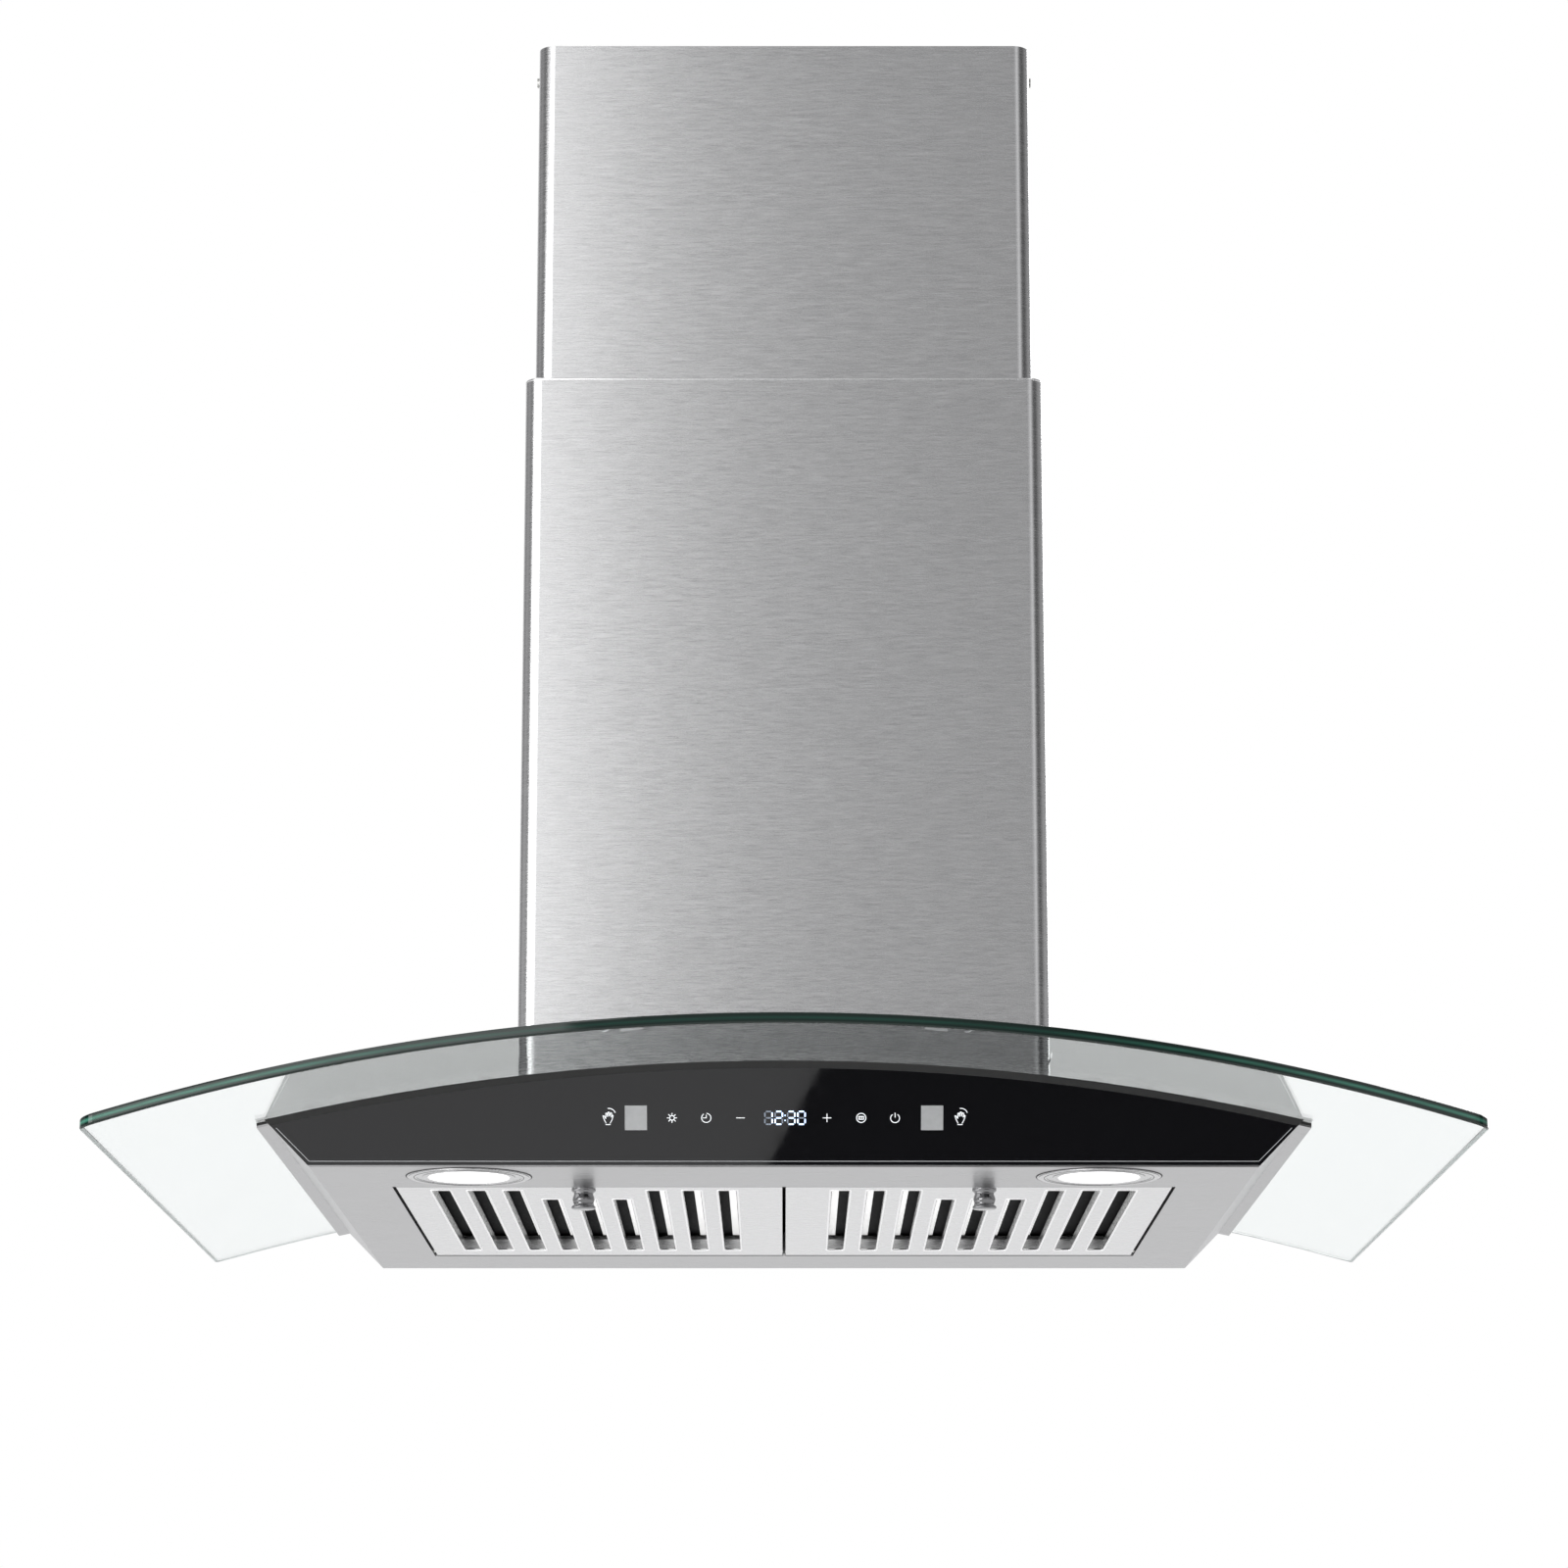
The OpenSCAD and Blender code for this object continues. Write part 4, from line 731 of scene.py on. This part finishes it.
# %% Rolled edges and grease strips
ROLL, ROLL_PROUD, ROLL_CORNER = 0.8, 0.4, 1.6
STRIP_UP, STRIP_T, STRIP_TUCK, STRIP_ROUND = 9.8, 0.6, 2, 0.2
for side, inward in (("left", 1), ("right", -1)):
    rolls, strips = [], []
    for x0, x1, y0, y1 in slots_of(side + "_filter_frame"):
        rolls.append(tube_loop(x0, x1, y0, y1, (ROLL - ROLL_PROUD) * MM, ROLL_CORNER * MM, ROLL * MM))
        middle = (x0 + x1) / 2
        inner = x1 if inward > 0 else x0
        ends = sorted((middle, inner + inward * STRIP_TUCK * MM))
        strips.append(block(*ends, y0, y1, STRIP_UP * MM, (STRIP_UP + STRIP_T) * MM))
    up = Matrix.Translation((0, 0, UNDERSIDE))
    finish_piece(rolls, side + "_rolled_edges", up, rim_steel, side + "_filter")
    finish_piece(strips, side + "_grease_strips", up, strip_white, side + "_filter",
                 corners=STRIP_ROUND * MM, upright=False)

# %% [markdown]
# ## Room and light
# A plain pale floor and a white room. Brushed metal is only as good as what it mirrors, so the room
# is not evenly white in reflections: it has dark bands at the sides, and a grey one in front of the
# middle, as black flags make in a studio. What is seen directly, or through the clear glass, stays
# white. The floor shines a little, as a lit table does, so that the underside has something bright to
# mirror. A slanted flag on it makes the edge between light and dark that crosses the black glass. It
# also shades the floor round it, which shows from behind.

# %% Floor and a black flag that the camera does not see
FLOOR_DROP, FLOOR_SIZE = 1.55, 60
FLOOR_WHITE, FLOOR_GLOW = (0.86, 0.86, 0.86), 0.35
FLAG_SIZE, FLAG_TURN = (2.4, 2.6), math.radians(17)
FLAG_EDGE, FLAG_AHEAD, FLAG_LIFT = -0.002, 2.45, 0.02
floor_z = UNDERSIDE - FLOOR_DROP
bpy.ops.mesh.primitive_plane_add(size=FLOOR_SIZE, location=(0, 0, floor_z))
floor = bpy.context.object
floor.name = "floor"
bpy.ops.mesh.primitive_plane_add(size=1, location=(FLAG_EDGE, -FLAG_AHEAD, floor_z + FLAG_LIFT))
flag = bpy.context.object
flag.name = "black_flag"
flag.scale = (*FLAG_SIZE, 1)
flag.rotation_euler.z = FLAG_TURN
half_flag = FLAG_SIZE[0] / 2
flag.location += Vector((half_flag * math.cos(FLAG_TURN), half_flag * math.sin(FLAG_TURN), 0))
flag.visible_camera = False
floor_paint, floor_shader, add, link = new_material("floor_paint", FLOOR_WHITE, 0, 0.75)
mottle = add("TexNoise", Vector=add("TexCoord").outputs["Object"], Scale=3.0, Detail=6.0).outputs[0]
link(tinted(add, FLOOR_WHITE, mottle, 0.01), floor_shader.inputs["Base Color"])
floor_shader.inputs["Emission Color"].default_value = (1, 1, 1, 1)
floor_shader.inputs["Emission Strength"].default_value = FLOOR_GLOW
floor.data.materials.append(floor_paint)
flag.data.materials.append(rubber)

# %% White room, banded for reflections
FRONT_UNTIL, BEHIND_FROM = -0.1, 0.25
world = bpy.data.worlds.new("studio")
bpy.context.scene.world = world
world.use_nodes = True
tree = world.node_tree
tree.nodes.clear()


def world_node(kind, *settings, **inputs):
    node = tree.nodes.new("ShaderNode" + kind)
    for key, value in settings:
        setattr(node, key, value)
    for key, value in inputs.items():
        tree.links.new(value, node.inputs[key.replace("_", " ")])
    return node


def bands(source, places):
    """Grey levels along a direction from -1 to 1."""
    ramp = world_node("ValToRGB")
    half = world_node("MapRange", Value=source)
    half.inputs["From Min"].default_value = -1
    tree.links.new(half.outputs[0], ramp.inputs[0])
    stops = ramp.color_ramp.elements
    stops[0].position, stops[1].position = [(p + 1) / 2 for p, level in (places[0], places[-1])]
    for place, level in places[1:-1]:
        stops.new((place + 1) / 2)
    for stop, (place, level) in zip(stops, places):
        stop.color = (level, level, level * 1.01, 1)
    return ramp.outputs[0]


toward = world_node("SeparateXYZ", Vector=world_node("TexCoord").outputs["Generated"]).outputs
in_front = bands(toward[0], [(-1, 0.6), (-0.9, 0.1), (-0.7, 0.15), (-0.52, 1.0), (-0.36, 0.95),
                             (-0.22, 0.30), (-0.08, 0.46), (0.08, 0.40), (0.22, 0.2), (0.36, 0.9),
                             (0.5, 1.0), (0.7, 0.1), (0.9, 0.1), (1, 0.5)])
behind = bands(toward[0], [(-1, 0.6), (-0.8, 0.2), (-0.5, 0.95), (0.5, 0.95), (0.8, 0.2), (1, 0.6)])
which = world_node("MapRange", Value=toward[1])
which.inputs["From Min"].default_value = FRONT_UNTIL
which.inputs["From Max"].default_value = BEHIND_FROM
mirrored = world_node("Mix", ("data_type", "RGBA"))
for source, socket in ((which.outputs[0], 0), (in_front, 6), (behind, 7)):
    tree.links.new(source, mirrored.inputs[socket])
white = world_node("Background")
white.inputs["Color"].default_value = (1, 1, 1, 1)
banded = world_node("Background", Color=mirrored.outputs[2])
paths = world_node("LightPath").outputs
direct = world_node("Math", ("operation", "MAXIMUM"))
tree.links.new(paths["Is Camera Ray"], direct.inputs[0])
tree.links.new(paths["Is Transmission Ray"], direct.inputs[1])
pick = world_node("MixShader")
for source, socket in ((direct.outputs[0], 0), (banded.outputs[0], 1), (white.outputs[0], 2)):
    tree.links.new(source, pick.inputs[socket])
world_node("OutputWorld", Surface=pick.outputs[0])
bpy.context.scene.view_settings.view_transform = "Standard"


# %% Soft boxes
def soft_box(name, place, aim, size, power):
    bpy.ops.object.light_add(type="AREA", location=place)
    light = bpy.context.object
    light.name = name
    light.data.shape = "RECTANGLE"
    light.data.size, light.data.size_y = size
    light.data.energy = power
    light.rotation_mode = "QUATERNION"
    light.rotation_quaternion = (Vector(aim) - Vector(place)).to_track_quat("-Z", "Y")
    light.visible_camera = False


soft_box("left_box", (-2.2, -2.4, -0.2), (0, 0, -0.5), (1.6, 2.2), 40)
soft_box("low_box", (-1.6, -0.4, -1.9), (0, 0, -0.7), (1.6, 1.6), 14)
soft_box("back_box", (1.6, 2.4, 0.6), (0, 0, -0.5), (1.8, 1.8), 30)
soft_box("cover_box", (-0.46, -1.25, 0.0), (-0.02, -0.1, -0.02), (0.5, 1.5), 4.2)
